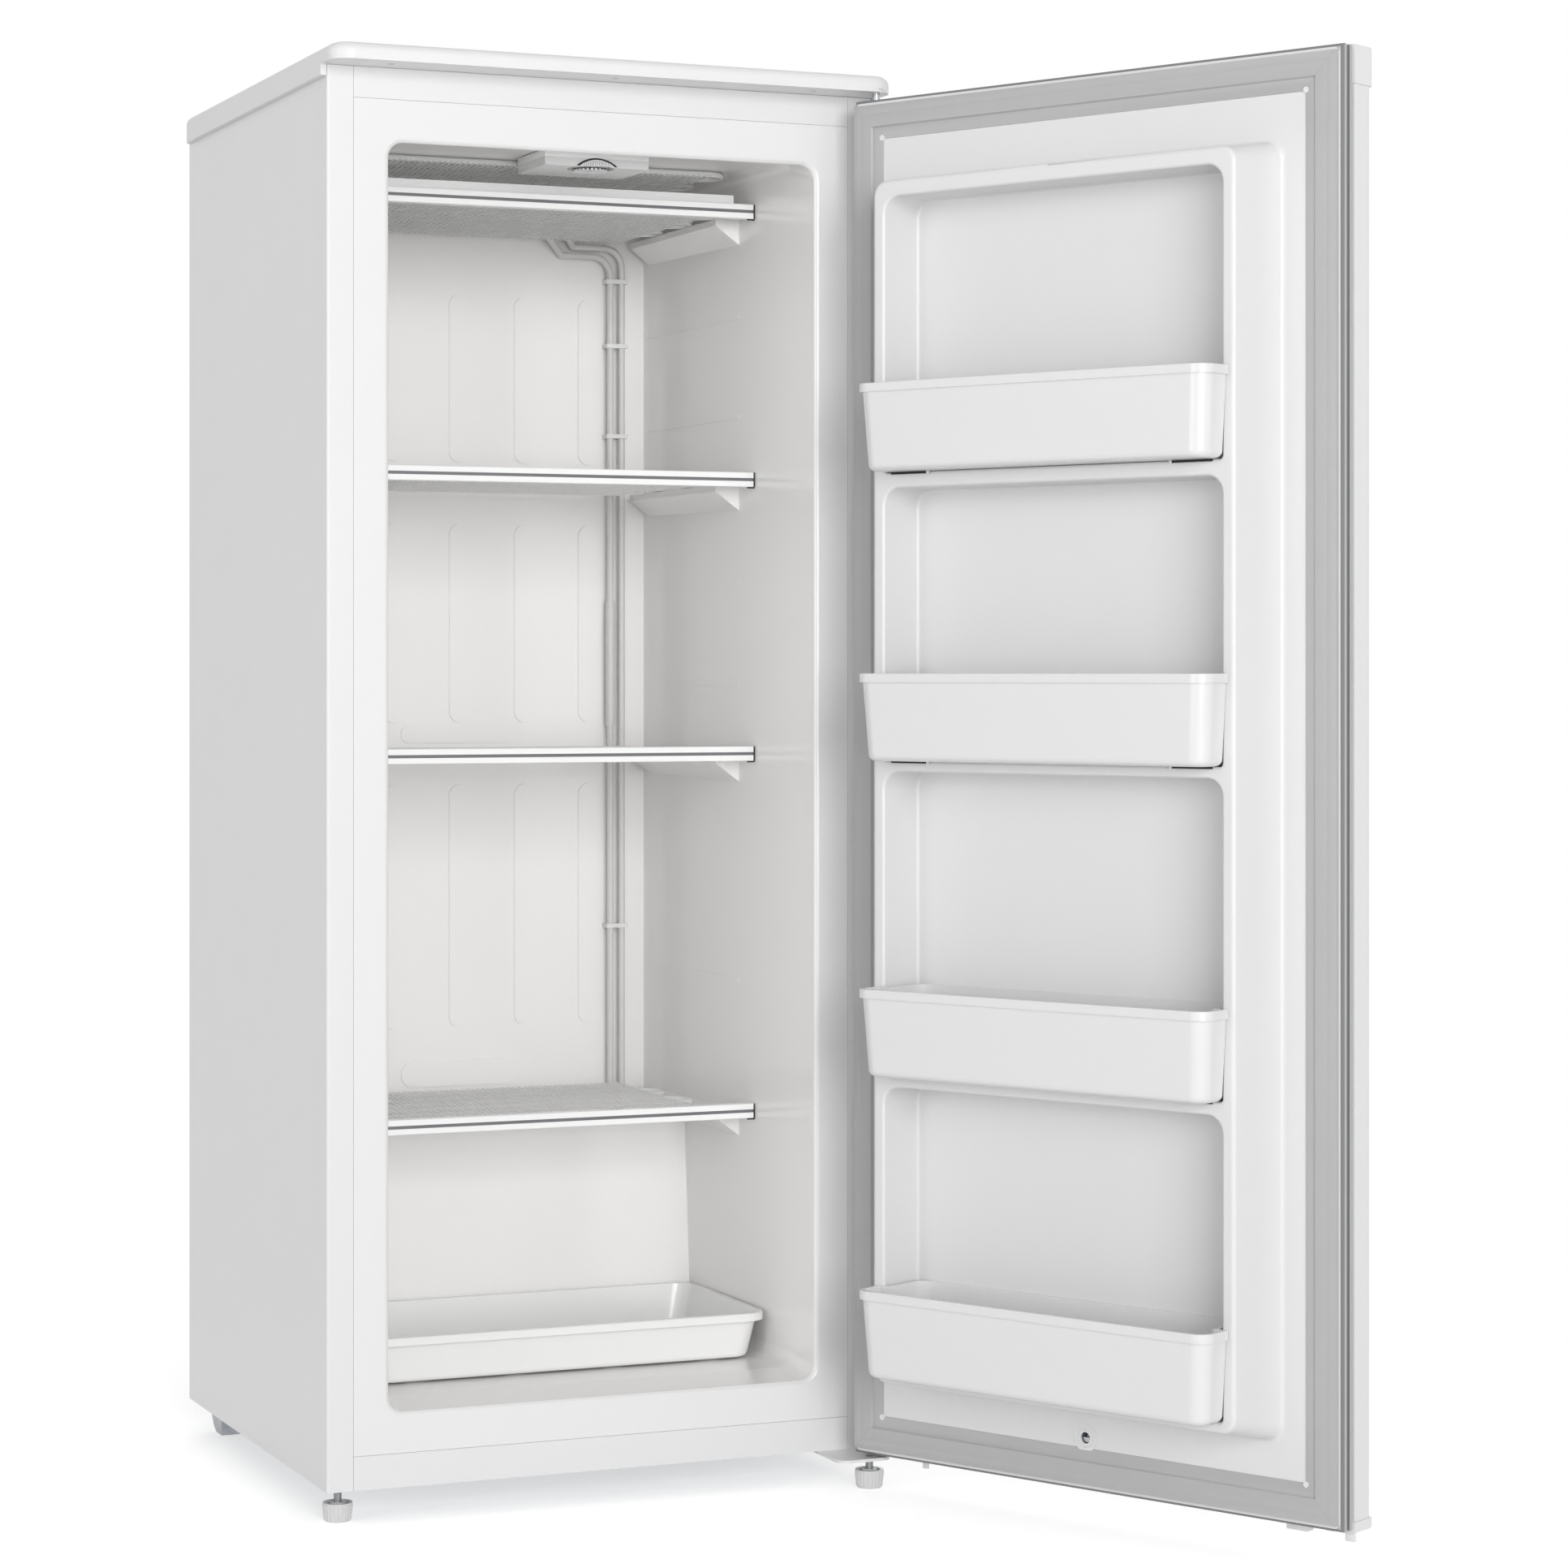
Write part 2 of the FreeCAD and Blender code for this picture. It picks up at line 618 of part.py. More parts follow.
def back_pads():
    """Raised pads with round ends on the back wall."""
    pads = []
    y = CAVITY_D + LINER_T / 2
    for i in range(len(PAD_TOP)):
        top = SHELF_Z[i] - PAD_TOP[i]
        bottom = SHELF_Z[i + 1] + PAD_BOTTOM[i]
        for column in range(-2, 3):
            x = column * PAD_PITCH
            face = upright(x - PAD_W / 2, x + PAD_W / 2, bottom, top, PAD_W / 2 - SEAM, y)
            pads.append(slab(face, V(0, -PAD_T - LINER_T / 2, 0)))
    half = CROSS_PAD_HALF
    for z, (low, high) in zip(SHELF_Z[2:], CROSS_PAD_UP):
        face = upright(-half, half, z + low, z + high, (high - low) / 2 - SEAM, y)
        pads.append(slab(face, V(0, -PAD_T - LINER_T / 2, 0)))
    return pads


def wall_ribs():
    """Low ribs along both side walls."""
    y0 = WALL_RIB_Y0
    y1 = CAVITY_D - WALL_RIB_BACK
    heights = [SHELF_Z[0] - down for down in WALL_RIB_DOWN] + [SHELF_Z[3] + WALL_RIB_UP]
    ribs = []
    for side in (-1, 1):
        def at(y, depth):
            return V(side * (wall_x(y) - depth), y, 0)

        foot = [at(y0, -SHEET), at(y0, 0), at(y0 + WALL_RIB_H, WALL_RIB_T), at(y1, WALL_RIB_T)]
        rib = prism(foot + [at(y1, -SHEET)], V(0, 0, WALL_RIB_H))
        for z in heights:
            ribs.append(rib.translated(V(0, 0, z - WALL_RIB_H / 2)))
    return ribs


def collar():
    """Block behind the flange that the rolled lip is cut from."""
    half = OPEN_HALF + LIP_D
    wire = upright(-half, half, OPEN_Z0 - LIP_D, OPEN_Z1 + LIP_D, CORNER_R + LIP_D, 0)
    return slab(wire, V(0, LIP_D, 0))


def inner_liner():
    """Formed plastic liner: front flange, rolled mouth, walls, ledges and pads."""
    half = CAB_W / 2 - STRIP_W - SEAM
    z0 = CAB_Z0 + RAIL_BOT_H + SEAM
    z1 = CAB_Z1 - RAIL_TOP_H - SEAM
    shell = cavity(LINER_T).common(box(-CAB_W, CAB_W, LIP_D, CAB_D, 0, CAB_Z1)).cut(cavity_inside)
    flange = box(-half, half, 0, LINER_T, z0, z1).cut(collar())
    lip = collar().cut(cavity_inside)
    front = [e for e in lip.Edges if e.BoundBox.YMax < 1e-6]
    mouth = [e for e in front if e.distToShape(cavity_front)[0] < 1e-3]
    liner = fuse(shell, flange, lip.makeFillet(ROLL_R, mouth))
    ledges = [ledge(side, shelf_base(z) + 2 * WIRE_R - SEAT) for z in SHELF_Z for side in (-1, 1)]
    return fuse(liner, *(ledges + back_pads() + wall_ribs()))


def cabinet_foam():
    """Insulation between the liner and the outer sheets."""
    half = CAB_W / 2 - SHEET
    z0 = CAB_Z0 + SEAM + BASE_T
    block = box(-half, half, 4 * LINER_T + SHEET, CAB_D - 2 * SHEET, z0, CAB_Z1 - SEAM - SHEET)
    block = round_upright(block, 2 * SHEET, lambda e: e.CenterOfMass.y > CAB_D / 2)
    bay = box(-half, half, BAY_Y, CAB_D, 0, BAY_Z)
    foam = block.cut([bay, collar(), cavity(LINER_T), stud_hole(SHEET)])
    for side in (-1, 1):
        foam = foam.cut(condenser_run(side, COND_R + SEAT))
    return foam


def condenser_run(side, radius):
    """Serpentine of tube against the inside of one side panel."""
    x = side * (CAB_W / 2 - SHEET - COND_GAP - COND_R)
    high = CAB_Z1 - COND_TOP
    points = []
    for i in range(int((CAB_D - 2 * COND_Y0) / COND_PITCH) + 1):
        y = COND_Y0 + i * COND_PITCH
        low = BAY_Z + COND_OVER_BAY if y > BAY_Y - COND_PITCH else CAB_Z0 + COND_BOTTOM
        ends = (low, high) if i % 2 == 0 else (high, low)
        points += [V(x, y, z) for z in ends]
    return tube(points, COND_BEND, radius)


def condenser_tube():
    """Skin condenser: one serpentine on each side."""
    return Part.makeCompound([condenser_run(side, COND_R) for side in (-1, 1)])


def top_cover():
    """Moulded cover: rounded upper edge, front overhang, skirts at sides and back."""
    y0, y1 = -COVER_FRONT, CAB_D + COVER_BACK
    outline = level(-COVER_HALF, COVER_HALF, y0, y1, COVER_CORNER, CAB_Z1)
    body = slab(outline, V(0, 0, COVER_H))
    top = [e for e in body.Edges if e.BoundBox.ZMin > CAB_Z1 + COVER_H - 1e-6]
    body = body.makeFillet(COVER_R, top)
    outline = level(-COVER_HALF, COVER_HALF, y0, y1, COVER_CORNER, CAB_Z1 - COVER_SKIRT)
    skirt = slab(outline, V(0, 0, COVER_SKIRT))
    half = CAB_W / 2 + FIT
    skirt = skirt.cut(box(-half, half, -COVER_FRONT, CAB_D + FIT, 0, CAB_Z1))
    skirt = skirt.cut(box(-CAB_W, CAB_W, -2 * COVER_FRONT, 0, 0, CAB_Z1))
    land = CAB_W / 2 - COVER_LAND
    pocket = box(-land, land, COVER_LAND, CAB_D - COVER_LAND, CAB_Z1 - 1, CAB_Z1 + COVER_POCKET)
    cover = fuse(body, skirt).cut([pocket, hinge_plate(CAB_Z1, HINGE_UP_Y, FIT)])
    cover = cover.cut(rod(V(PIN_X, PIN_Y, CAB_Z1 - 1), V(PIN_X, PIN_Y, CAB_Z1 + HINGE_T + FIT), PIN_R + FIT))
    return cover.cut([cover_screw(x, FIT) for x in COVER_SCREW_X])


def cover_screw(x, grow=0.0):
    """Screw that holds the cover's overhang from below."""
    z0 = CAB_Z1 + FIT
    z1 = z0 + COVER_HEAD_H
    head = rod(V(x, COVER_SCREW_Y, z0 - 2 * grow), V(x, COVER_SCREW_Y, z1 + grow), COVER_HEAD_R + grow)
    top = V(x, COVER_SCREW_Y, z1 + COVER_SHANK_L + grow)
    return fuse(head, rod(V(x, COVER_SCREW_Y, z1), top, COVER_SHANK_R + grow))


# ---- shelves ------------------------------------------------------------------------
def shelf_base(z):
    """Underside of a shelf's wire field."""
    return z - TRIM_H / 2 + TRIM_T + FIT


def serpentine(z, first_y):
    """Flat serpentine of tube in the plane Z = z."""
    points = []
    reach = BEND_X - TUBE_R
    for i in range(int((MESH_Y1 - TUBE_R - first_y) / TUBE_PITCH) + 1):
        y = first_y + i * TUBE_PITCH
        side = -1 if i % 2 == 0 else 1
        points += [V(side * reach, y, z), V(-side * reach, y, z)]
    points[0].x += 2 * TUBE_BEND
    points[-1].x += 2 * side * TUBE_BEND
    return tube(points, TUBE_BEND, TUBE_R)


def wire_field(z):
    """Wires that run front to back in the plane Z = z."""
    count = int(MESH_HALF / WIRE_PITCH)
    wires = []
    for i in range(-count, count + 1):
        x = i * WIRE_PITCH
        wires.append(rod(V(x, TRIM_Y + WIRE_START, z), V(x, MESH_Y1, z), WIRE_R))
    return wires


def evaporator_shelf(z):
    """Shelf that is also the evaporator: tube between two fields of wire."""
    low = shelf_base(z) + WIRE_R
    middle = low + WIRE_R + TUBE_R
    high = middle + TUBE_R + WIRE_R
    pieces = [serpentine(middle, TRIM_Y + TUBE_START)] + wire_field(low) + wire_field(high)
    return Part.makeCompound(pieces)


def evaporator_ceiling():
    """Evaporator field that hangs under the ceiling, wires on its lower side."""
    high = CEIL_Z - FIT - TUBE_R
    low = high - TUBE_R - WIRE_R
    return Part.makeCompound([serpentine(high, TRIM_Y + TUBE_START)] + wire_field(low))


def shelf_trim(z):
    """Front trim: a C channel clipped over the wires, with a groove for its stripe."""
    half = wall_x(TRIM_Y) - TRIM_GAP
    y1 = TRIM_Y + TRIM_D
    outer = box(-half, half, TRIM_Y, y1, z - TRIM_H / 2, z + TRIM_H / 2)
    front = edges_along(outer, V(1, 0, 0), lambda e: e.CenterOfMass.y < TRIM_Y + 1e-6)
    outer = outer.makeFillet(TRIM_ROUND, front)
    rise = TRIM_H / 2 - TRIM_T
    inner = box(-half, half, TRIM_Y + TRIM_T + STRIPE_T, y1, z - rise, z + rise)
    groove = box(-half, half, TRIM_Y, TRIM_Y + STRIPE_T, z - STRIPE_H / 2, z + STRIPE_H / 2)
    return outer.cut([inner, groove])


def shelf_stripes():
    """Grey stripe set into each trim."""
    half = wall_x(TRIM_Y) - TRIM_GAP
    y0 = TRIM_Y + STRIPE_IN
    y1 = TRIM_Y + STRIPE_T
    return Part.makeCompound([box(-half, half, y0, y1, z - STRIPE_H / 2, z + STRIPE_H / 2) for z in SHELF_Z])


def top_shelf_lip():
    """Bar on the top shelf, just behind its trim."""
    z = shelf_base(SHELF_Z[0]) + 4 * WIRE_R + 2 * TUBE_R
    y = TRIM_Y + TRIM_D + FIT
    top = SHELF_Z[0] + TRIM_H / 2 + LIP_H
    half = LEDGE_IN + LIP_LAP
    return box(-half, half, y, y + LIP_T, z, top)


def riser_tubes():
    """Refrigerant tubes in the back right corner, bent to the left under the top shelf."""
    low = HUMP_Z + RISER_FOOT
    high = shelf_base(SHELF_Z[0]) - RISER_R - SHEET
    risers = []
    for i, x in enumerate(RISER_X):
        top = high - (1 - i) * RISER_STEP
        points = [V(x, RISER_Y, low), V(x, RISER_Y, top), V(x - RISER_RUN, RISER_Y, top)]
        risers.append(tube(points, RISER_BEND_R, RISER_R))
    start = V(CAPILLARY_X, CAPILLARY_Y, low)
    capillary = rod(start, V(CAPILLARY_X, CAPILLARY_Y, high - CAPILLARY_DOWN), CAPILLARY_R)
    return Part.makeCompound(risers + [capillary])


def riser_clips():
    """Small moulded clips that hold the risers to the back wall."""
    x0 = RISER_X[0] - RISER_R - CLIP_EDGE
    x1 = RISER_X[1] + RISER_R + CLIP_EDGE
    y0 = RISER_Y - RISER_R - CLIP_EDGE
    clips = []
    for z in CLIP_Z:
        z0, z1 = z - CLIP_H / 2, z + CLIP_H / 2
        holes = [rod(V(x, RISER_Y, z0), V(x, RISER_Y, z1), RISER_R + CLIP_GAP) for x in RISER_X]
        start = V(CAPILLARY_X, CAPILLARY_Y, z0)
        holes.append(rod(start, V(CAPILLARY_X, CAPILLARY_Y, z1), CAPILLARY_R + CLIP_GAP))
        clips.append(box(x0, x1, y0, CAVITY_D - CLIP_GAP, z0, z1).cut(holes))
    return Part.makeCompound(clips)


def joint_sleeve():
    """Sleeve shrunk over the joint in the left riser."""
    x = RISER_X[0]
    z0 = SHELF_Z[2] + SLEEVE_UP
    z1 = z0 + SLEEVE_L
    sleeve = rod(V(x, RISER_Y, z0), V(x, RISER_Y, z1), SLEEVE_R)
    return sleeve.cut(rod(V(x, RISER_Y, z0), V(x, RISER_Y, z1), RISER_R))


# ---- thermostat ---------------------------------------------------------------------
def thermostat_housing():
    """Shallow housing under the ceiling, with an arc cut for the dial."""
    z1 = STAT_Z0 + STAT_H
    outer = box(STAT_X0, STAT_X1, STAT_Y0, STAT_Y1, STAT_Z0, z1)
    outer = round_upright(outer, STAT_ROUND)
    wall = STAT_WALL
    pocket = box(STAT_X0 + wall, STAT_X1 - wall, STAT_Y0 + STAT_FRONT, STAT_Y1 - wall, STAT_Z0 + wall, z1)
    well = rod(V(DIAL_X, DIAL_Y, STAT_Z0), V(DIAL_X, DIAL_Y, STAT_Z0 + DIAL_T + FIT), DIAL_WELL_R)
    shaft = rod(V(DIAL_X, DIAL_Y, STAT_Z0), V(DIAL_X, DIAL_Y, z1), DIAL_SHAFT_R + RUN_FIT)
    posts = []
    for x in (STAT_X0 + STAT_POST_IN, STAT_X1 - STAT_POST_IN):
        for y in (STAT_Y0 + STAT_POST_IN, STAT_Y1 - STAT_POST_IN):
            posts.append(rod(V(x, y, STAT_Z0 + wall), V(x, y, CEIL_Z - SEAT), STAT_POST_R))
    return fuse(outer.cut([pocket, well, shaft]), *posts)


def thermostat_switch():
    """Control switch inside the housing."""
    y0 = STAT_Y0 + STAT_FRONT + FIT
    y1 = STAT_Y1 - STAT_WALL - FIT
    half = SWITCH_W / 2
    return box(DIAL_X - half, DIAL_X + half, y0, y1, STAT_Z0 + STAT_WALL, STAT_Z0 + STAT_H - SHEET)


def thermostat_dial():
    """Toothed dial on a short shaft."""
    z1 = STAT_Z0 + DIAL_T
    disc = rod(V(DIAL_X, DIAL_Y, STAT_Z0), V(DIAL_X, DIAL_Y, z1), DIAL_R)
    notches = []
    for i in range(DIAL_TEETH):
        angle = 2 * math.pi * i / DIAL_TEETH
        x = DIAL_X + DIAL_R * math.cos(angle)
        y = DIAL_Y + DIAL_R * math.sin(angle)
        notches.append(rod(V(x, y, STAT_Z0), V(x, y, z1), DIAL_NOTCH_R))
    shaft = rod(V(DIAL_X, DIAL_Y, STAT_Z0), V(DIAL_X, DIAL_Y, STAT_Z0 + STAT_H), DIAL_SHAFT_R)
    y0 = DIAL_Y - DIAL_R + DIAL_RING
    y1 = DIAL_Y - DIAL_RING
    pointer = box(DIAL_X - DIAL_MARK, DIAL_X + DIAL_MARK, y0, y1, STAT_Z0 - DIAL_MARK, STAT_Z0)
    return fuse(disc.cut(notches), shaft, pointer)


# ---- tray ---------------------------------------------------------------------------
def bottom_tray():
    """Tapered tray with a turned-down rim, on four short ribs."""
    z0 = FLOOR_Z + TRAY_FOOT + FIT
    rim_half = wall_x(TRAY_Y1) - TRAY_SIDE
    half = rim_half - TRAY_RIM
    y0, y1 = TRAY_Y0 + TRAY_RIM, TRAY_Y1 - TRAY_RIM
    radius = TRAY_R - TRAY_RIM

    def tub(shrink, low):
        x = half - TRAY_TAPER - shrink
        inset = TRAY_TAPER_Y + shrink
        bottom = level(-x, x, y0 + inset, y1 - inset, radius - shrink, low)
        x = half - shrink
        return loft(bottom, level(-x, x, y0 + shrink, y1 - shrink, radius - shrink, TRAY_Z1))

    def band(shrink, height):
        x = rim_half - shrink
        z = TRAY_Z1 - TRAY_RIM_H
        return slab(level(-x, x, TRAY_Y0 + shrink, TRAY_Y1 - shrink, TRAY_R - shrink, z), V(0, 0, height))

    outer = tub(0, z0)
    outer = outer.makeFillet(TRAY_BOTTOM_R, [e for e in outer.Edges if e.BoundBox.ZMax < z0 + 1e-6])
    rim = band(0, TRAY_RIM_H)
    rim = rim.makeFillet(TRAY_RIM_T, [e for e in rim.Edges if e.BoundBox.ZMin > TRAY_Z1 - 1e-6])
    rim = rim.cut(band(TRAY_RIM_T, TRAY_RIM_H - TRAY_RIM_T))
    tray = fuse(outer, rim).cut(tub(TRAY_WALL, z0 + TRAY_WALL))
    feet = []
    for share in (-0.75, -0.25, 0.25, 0.75):
        x = share * half
        span = (TRAY_Y0 + TRAY_FOOT_IN, TRAY_Y1 - TRAY_FOOT_IN)
        feet.append(box(x - TRAY_FOOT_W / 2, x + TRAY_FOOT_W / 2, *span, z0 - TRAY_FOOT, z0 + TRAY_WALL / 2))
    return fuse(tray, *feet)


# ---- hinges and feet ----------------------------------------------------------------
def hinge_plate(z0, span, grow=0.0):
    """Flat hinge plate with rounded inner corners."""
    x1 = CAB_W / 2 - SHEET
    wire = level(HINGE_X0 - grow, x1 + grow, span[0] - grow, span[1] + grow, HINGE_CORNER, z0 - grow)
    return slab(wire, V(0, 0, HINGE_T + 2 * grow))


def pin_hole(z0, z1, radius, grow=0.0):
    """Round bar on the hinge pin's axis."""
    return rod(V(PIN_X, PIN_Y, z0), V(PIN_X, PIN_Y, z1), radius + grow)


def upper_hinge():
    """Plate under the top cover, with the upper pin's hole."""
    z0, z1 = CAB_Z1, CAB_Z1 + HINGE_T
    holes = [rod(V(x, y, z0), V(x, y, z1), HINGE_SCREW_R) for x, y in hinge_screw_places()]
    return hinge_plate(z0, HINGE_UP_Y).cut(holes + [pin_hole(z0, z1, PIN_R)])


def lower_hinge():
    """Plate under the cabinet that carries the lower pin and the right front foot."""
    z0, z1 = CAB_Z0 - HINGE_T, CAB_Z0
    x, y = FOOT_RIGHT
    stud = rod(V(x, y, z0), V(x, y, z1), STUD_R + RUN_FIT)
    holes = [rod(V(a, b, z0), V(a, b, z1), HINGE_SCREW_R) for a, b in hinge_screw_places()]
    return hinge_plate(z0, HINGE_LOW_Y).cut(holes + [stud, pin_hole(z0, z1, PIN_R)])


def hinge_screw_places():
    """Where the screws go through both hinge plates."""
    return [(HINGE_X0 + a, b) for a, b in HINGE_SCREWS]


def hinge_pins():
    """Lower and upper pin, each pressed into its plate."""
    low = pin_hole(CAB_Z0 - HINGE_T, DOOR_Z0 + PIN_L, PIN_R)
    high = pin_hole(DOOR_Z1 - PIN_L, CAB_Z1 + HINGE_T, PIN_R)
    return Part.makeCompound([low, high])


def hinge_screws():
    """Screws through the hinge plates."""
    screws = []
    for x, y in hinge_screw_places():
        for z, way in ((CAB_Z0 - HINGE_T, 1), (CAB_Z1 + HINGE_T, -1)):
            head = rod(V(x, y, z), V(x, y, z - way * HINGE_HEAD_H), HINGE_HEAD_R)
            shank = rod(V(x, y, z), V(x, y, z + way * HINGE_T), HINGE_SCREW_R)
            screws.append(fuse(head, shank))
    return Part.makeCompound(screws)


def foot(place, top):
    """Levelling foot: ribbed cup on a threaded stud that reaches the height top."""
    x, y = place
    cup = Part.makeCone(FOOT_R - FOOT_TAPER, FOOT_R, FOOT_H, V(x, y, 0))
    cup = cup.makeFillet(FOOT_ROUND, [e for e in cup.Edges if e.BoundBox.ZMax < 1e-6])
    ribs = []
    for i in range(FOOT_RIBS):
        angle = 2 * math.pi * i / FOOT_RIBS
        reach = V(math.cos(angle), math.sin(angle), 0)
        low = V(x, y, FOOT_RIB_END) + reach * (FOOT_R - FOOT_TAPER)
        high = V(x, y, FOOT_H - FOOT_RIB_END) + reach * (FOOT_R - FOOT_TAPER / 4)
        ribs.append(rod(low, high, FOOT_RIB_R))
    hollow = rod(V(x, y, FOOT_SOLE), V(x, y, FOOT_H + 1), FOOT_R - FOOT_WALL)
    hub = rod(V(x, y, FOOT_SOLE), V(x, y, FOOT_H), 2 * STUD_R)
    cup = fuse(fuse(cup, *ribs).cut(hollow), hub)
    stud = rod(V(x, y, FOOT_SOLE), V(x, y, top), STUD_R)
    return Part.makeCompound([cup.cut(stud), stud])


def rear_feet():
    """Fixed feet under the back corners, sloping up towards the back."""
    top = CAB_Z0 + SEAM
    y = CAB_D - REAR_FOOT_BACK
    outline = [V(0, y + a, b) for a, b in REAR_FOOT_SHAPE] + [V(0, y + REAR_FOOT_D, top), V(0, y, top)]
    left = prism(outline, V(REAR_FOOT_W, 0, 0))
    left.translate(V(-CAB_W / 2 + REAR_FOOT_IN, 0, 0))
    return Part.makeCompound([left, left.mirror(V(0, 0, 0), V(1, 0, 0))])


# ---- machine bay --------------------------------------------------------------------
def comp_feet():
    """Centres of the compressor's four grommets."""
    reach = COMP_R + COMP_FOOT_OUT
    return [(COMP_X + sx * reach, COMP_Y + sy * COMP_FOOT_Y) for sx in (-1, 1) for sy in (-1, 1)]


def compressor():
    """Hermetic compressor: domed can on a foot plate."""
    x = COMP_R + COMP_FOOT_OUT + COMP_FOOT_EDGE
    y = COMP_FOOT_Y + COMP_FOOT_EDGE
    top = COMP_Z + COMP_FOOT_T
    outline = level(COMP_X - x, COMP_X + x, COMP_Y - y, COMP_Y + y, COMP_FOOT_EDGE, COMP_Z)
    plate = slab(outline, V(0, 0, COMP_FOOT_T))
    plate = plate.cut([rod(V(a, b, COMP_Z), V(a, b, top), GROMMET_NECK_R + SEAT) for a, b in comp_feet()])
    can = rod(V(COMP_X, COMP_Y, COMP_Z), V(COMP_X, COMP_Y, COMP_Z + COMP_H), COMP_R)
    can = can.makeFillet(COMP_DOME_R, [e for e in can.Edges if e.BoundBox.ZMin > COMP_Z + COMP_H - 1e-6])
    low = COMP_Z + COMP_SEAM_UP
    seam = rod(V(COMP_X, COMP_Y, low), V(COMP_X, COMP_Y, low + COMP_SEAM_H), COMP_R + COMP_SEAM_OUT)
    return fuse(plate, can, seam)


def grommets():
    """Rubber grommets under the compressor, each through its foot plate."""
    z0 = COMP_Z - GROMMET_H
    pieces = []
    for x, y in comp_feet():
        body = rod(V(x, y, z0), V(x, y, COMP_Z), GROMMET_R)
        neck = rod(V(x, y, COMP_Z), V(x, y, COMP_Z + 2 * COMP_FOOT_T), GROMMET_NECK_R)
        pieces.append(fuse(body, neck))
    return Part.makeCompound(pieces)


def starter_box():
    """Relay and terminal box on the side of the compressor."""
    width, depth, height = STARTER
    x0 = COMP_X + COMP_R + COMP_SEAM_OUT + FIT
    z0 = COMP_Z + COMP_FOOT_T + STARTER_UP
    shape = box(x0, x0 + width, COMP_Y - depth / 2, COMP_Y + depth / 2, z0, z0 + height)
    return round_upright(shape, 3 * SHEET)


def filter_drier():
    """Copper filter drier against the front wall of the machine bay."""
    y = BAY_Y + SHEET + SEAT + DRIER_R
    z = BAY_Z - DRIER_DOWN
    return rod(V(DRIER_X, y, z), V(DRIER_X + DRIER_L, y, z + DRIER_RISE), DRIER_R)


def suction_line():
    """Tube from the compressor up to the roof of the bay."""
    z0 = COMP_Z + SUCTION_UP
    x = COMP_X - COMP_R - SUCTION_OUT
    points = [V(COMP_X, COMP_Y, z0), V(x, COMP_Y, z0), V(x, COMP_Y, BAY_Z - SHEET - SEAT)]
    can = rod(V(COMP_X, COMP_Y, COMP_Z), V(COMP_X, COMP_Y, COMP_Z + COMP_H), COMP_R)
    return tube(points, SUCTION_BEND, SUCTION_R).cut(can)


def cord_inlet():
    """Gland in the rear lip where the supply cord would enter."""
    y1 = CAB_D - SHEET - SEAM
    z = cord_z()
    start = V(CORD_X, y1 - CORD_IN, z)
    end = V(CORD_X, y1 + CORD_OUT, z)
    flange = rod(V(CORD_X, y1, z), V(CORD_X, y1 + CORD_FLANGE_T, z), CORD_R)
    return fuse(rod(start, end, CORD_NECK_R), flange).cut(rod(start, end, CORD_BORE))


# ---- door, modelled shut ------------------------------------------------------------
def door_block(shrink, back, z0, z1):
    """Block with the outline of the outer skin, smaller by shrink; back is its inner face."""
    half = DOOR_HALF - shrink
    front = -DOOR_FRONT + shrink
    shape = box(-half, half, front, -back, z0, z1)
    return round_upright(shape, SKIN_R - shrink, lambda e: e.CenterOfMass.y < front + 1)


def door_skin():
    """Folded steel outer skin: front, two sides and their return strips."""
    z0, z1 = DOOR_Z0 + CAP_BOT_H, DOOR_Z1 - CAP_TOP_H

    outer = door_block(0, SKIN_RIM, z0, z1)
    inner = door_block(SHEET, SKIN_RIM + SHEET, z0, z1)
    mouth = box(-DOOR_HALF + RETURN_W, DOOR_HALF - RETURN_W, -SKIN_RIM - 2 * SHEET, 0, z0, z1)
    lock = rod(V(0, -DOOR_FRONT - 1, LOCK_Z), V(0, 0, LOCK_Z), LOCK_R)
    return outer.cut([inner, mouth, lock])


def door_core(grow):
    """Foam body of the door, with the raised ring; larger by grow on the liner side."""
    d = LINER_T - grow
    outline = upright(-PAN_HALF + d, PAN_HALF - d, PAN_Z0 + d, PAN_Z1 - d, PAN_R, -PAN_BACK)
    flat = slab(outline, V(0, PAN_BACK - DOOR_BACK - d, 0))
    half = DIKE_HALF0 - d
    base = upright(-half, half, DIKE_Z0[0] + d, DIKE_Z1[0] - d, DIKE_R, -DOOR_BACK - 2 * LINER_T)
    half = DIKE_HALF1 - d
    crest = upright(-half, half, DIKE_Z0[1] + d, DIKE_Z1[1] - d, DIKE_R, DIKE_H - d)
    ring = loft(base, crest)
    top = DIKE_H - d
    ring = ring.makeFillet(CREST_R - d, edges_at(ring, top))
    core = fuse(flat, ring)
    core = core.makeFillet(ROOT_R + d, edges_at(core, -DOOR_BACK - d, DIKE_HALF0))
    core = core.cut([recess(i, d) for i in range(len(BIN_Z))])
    return core.makeFillet(MOUTH_R - d, edges_at(core, top, RECESS_HALF + d))


def recess(index, grow):
    """Space above one ledge of the door liner."""
    z0 = BIN_Z[index] - BIN_SEAT - grow
    z1 = RECESS_TOP[index] + grow
    half = RECESS_HALF + grow
    y = RECESS_Y - grow
    upper = upright(-half, half, z0, z1, RECESS_R + grow, y)
    lower = upright(-half, half, z0, z0 + BIN_H, LEDGE_R + grow, y)
    space = fuse(slab(upper, V(0, DIKE_H, 0)), slab(lower, V(0, DIKE_H, 0)))
    return space.makeFillet(RECESS_BACK_R + grow, edges_at(space, y))


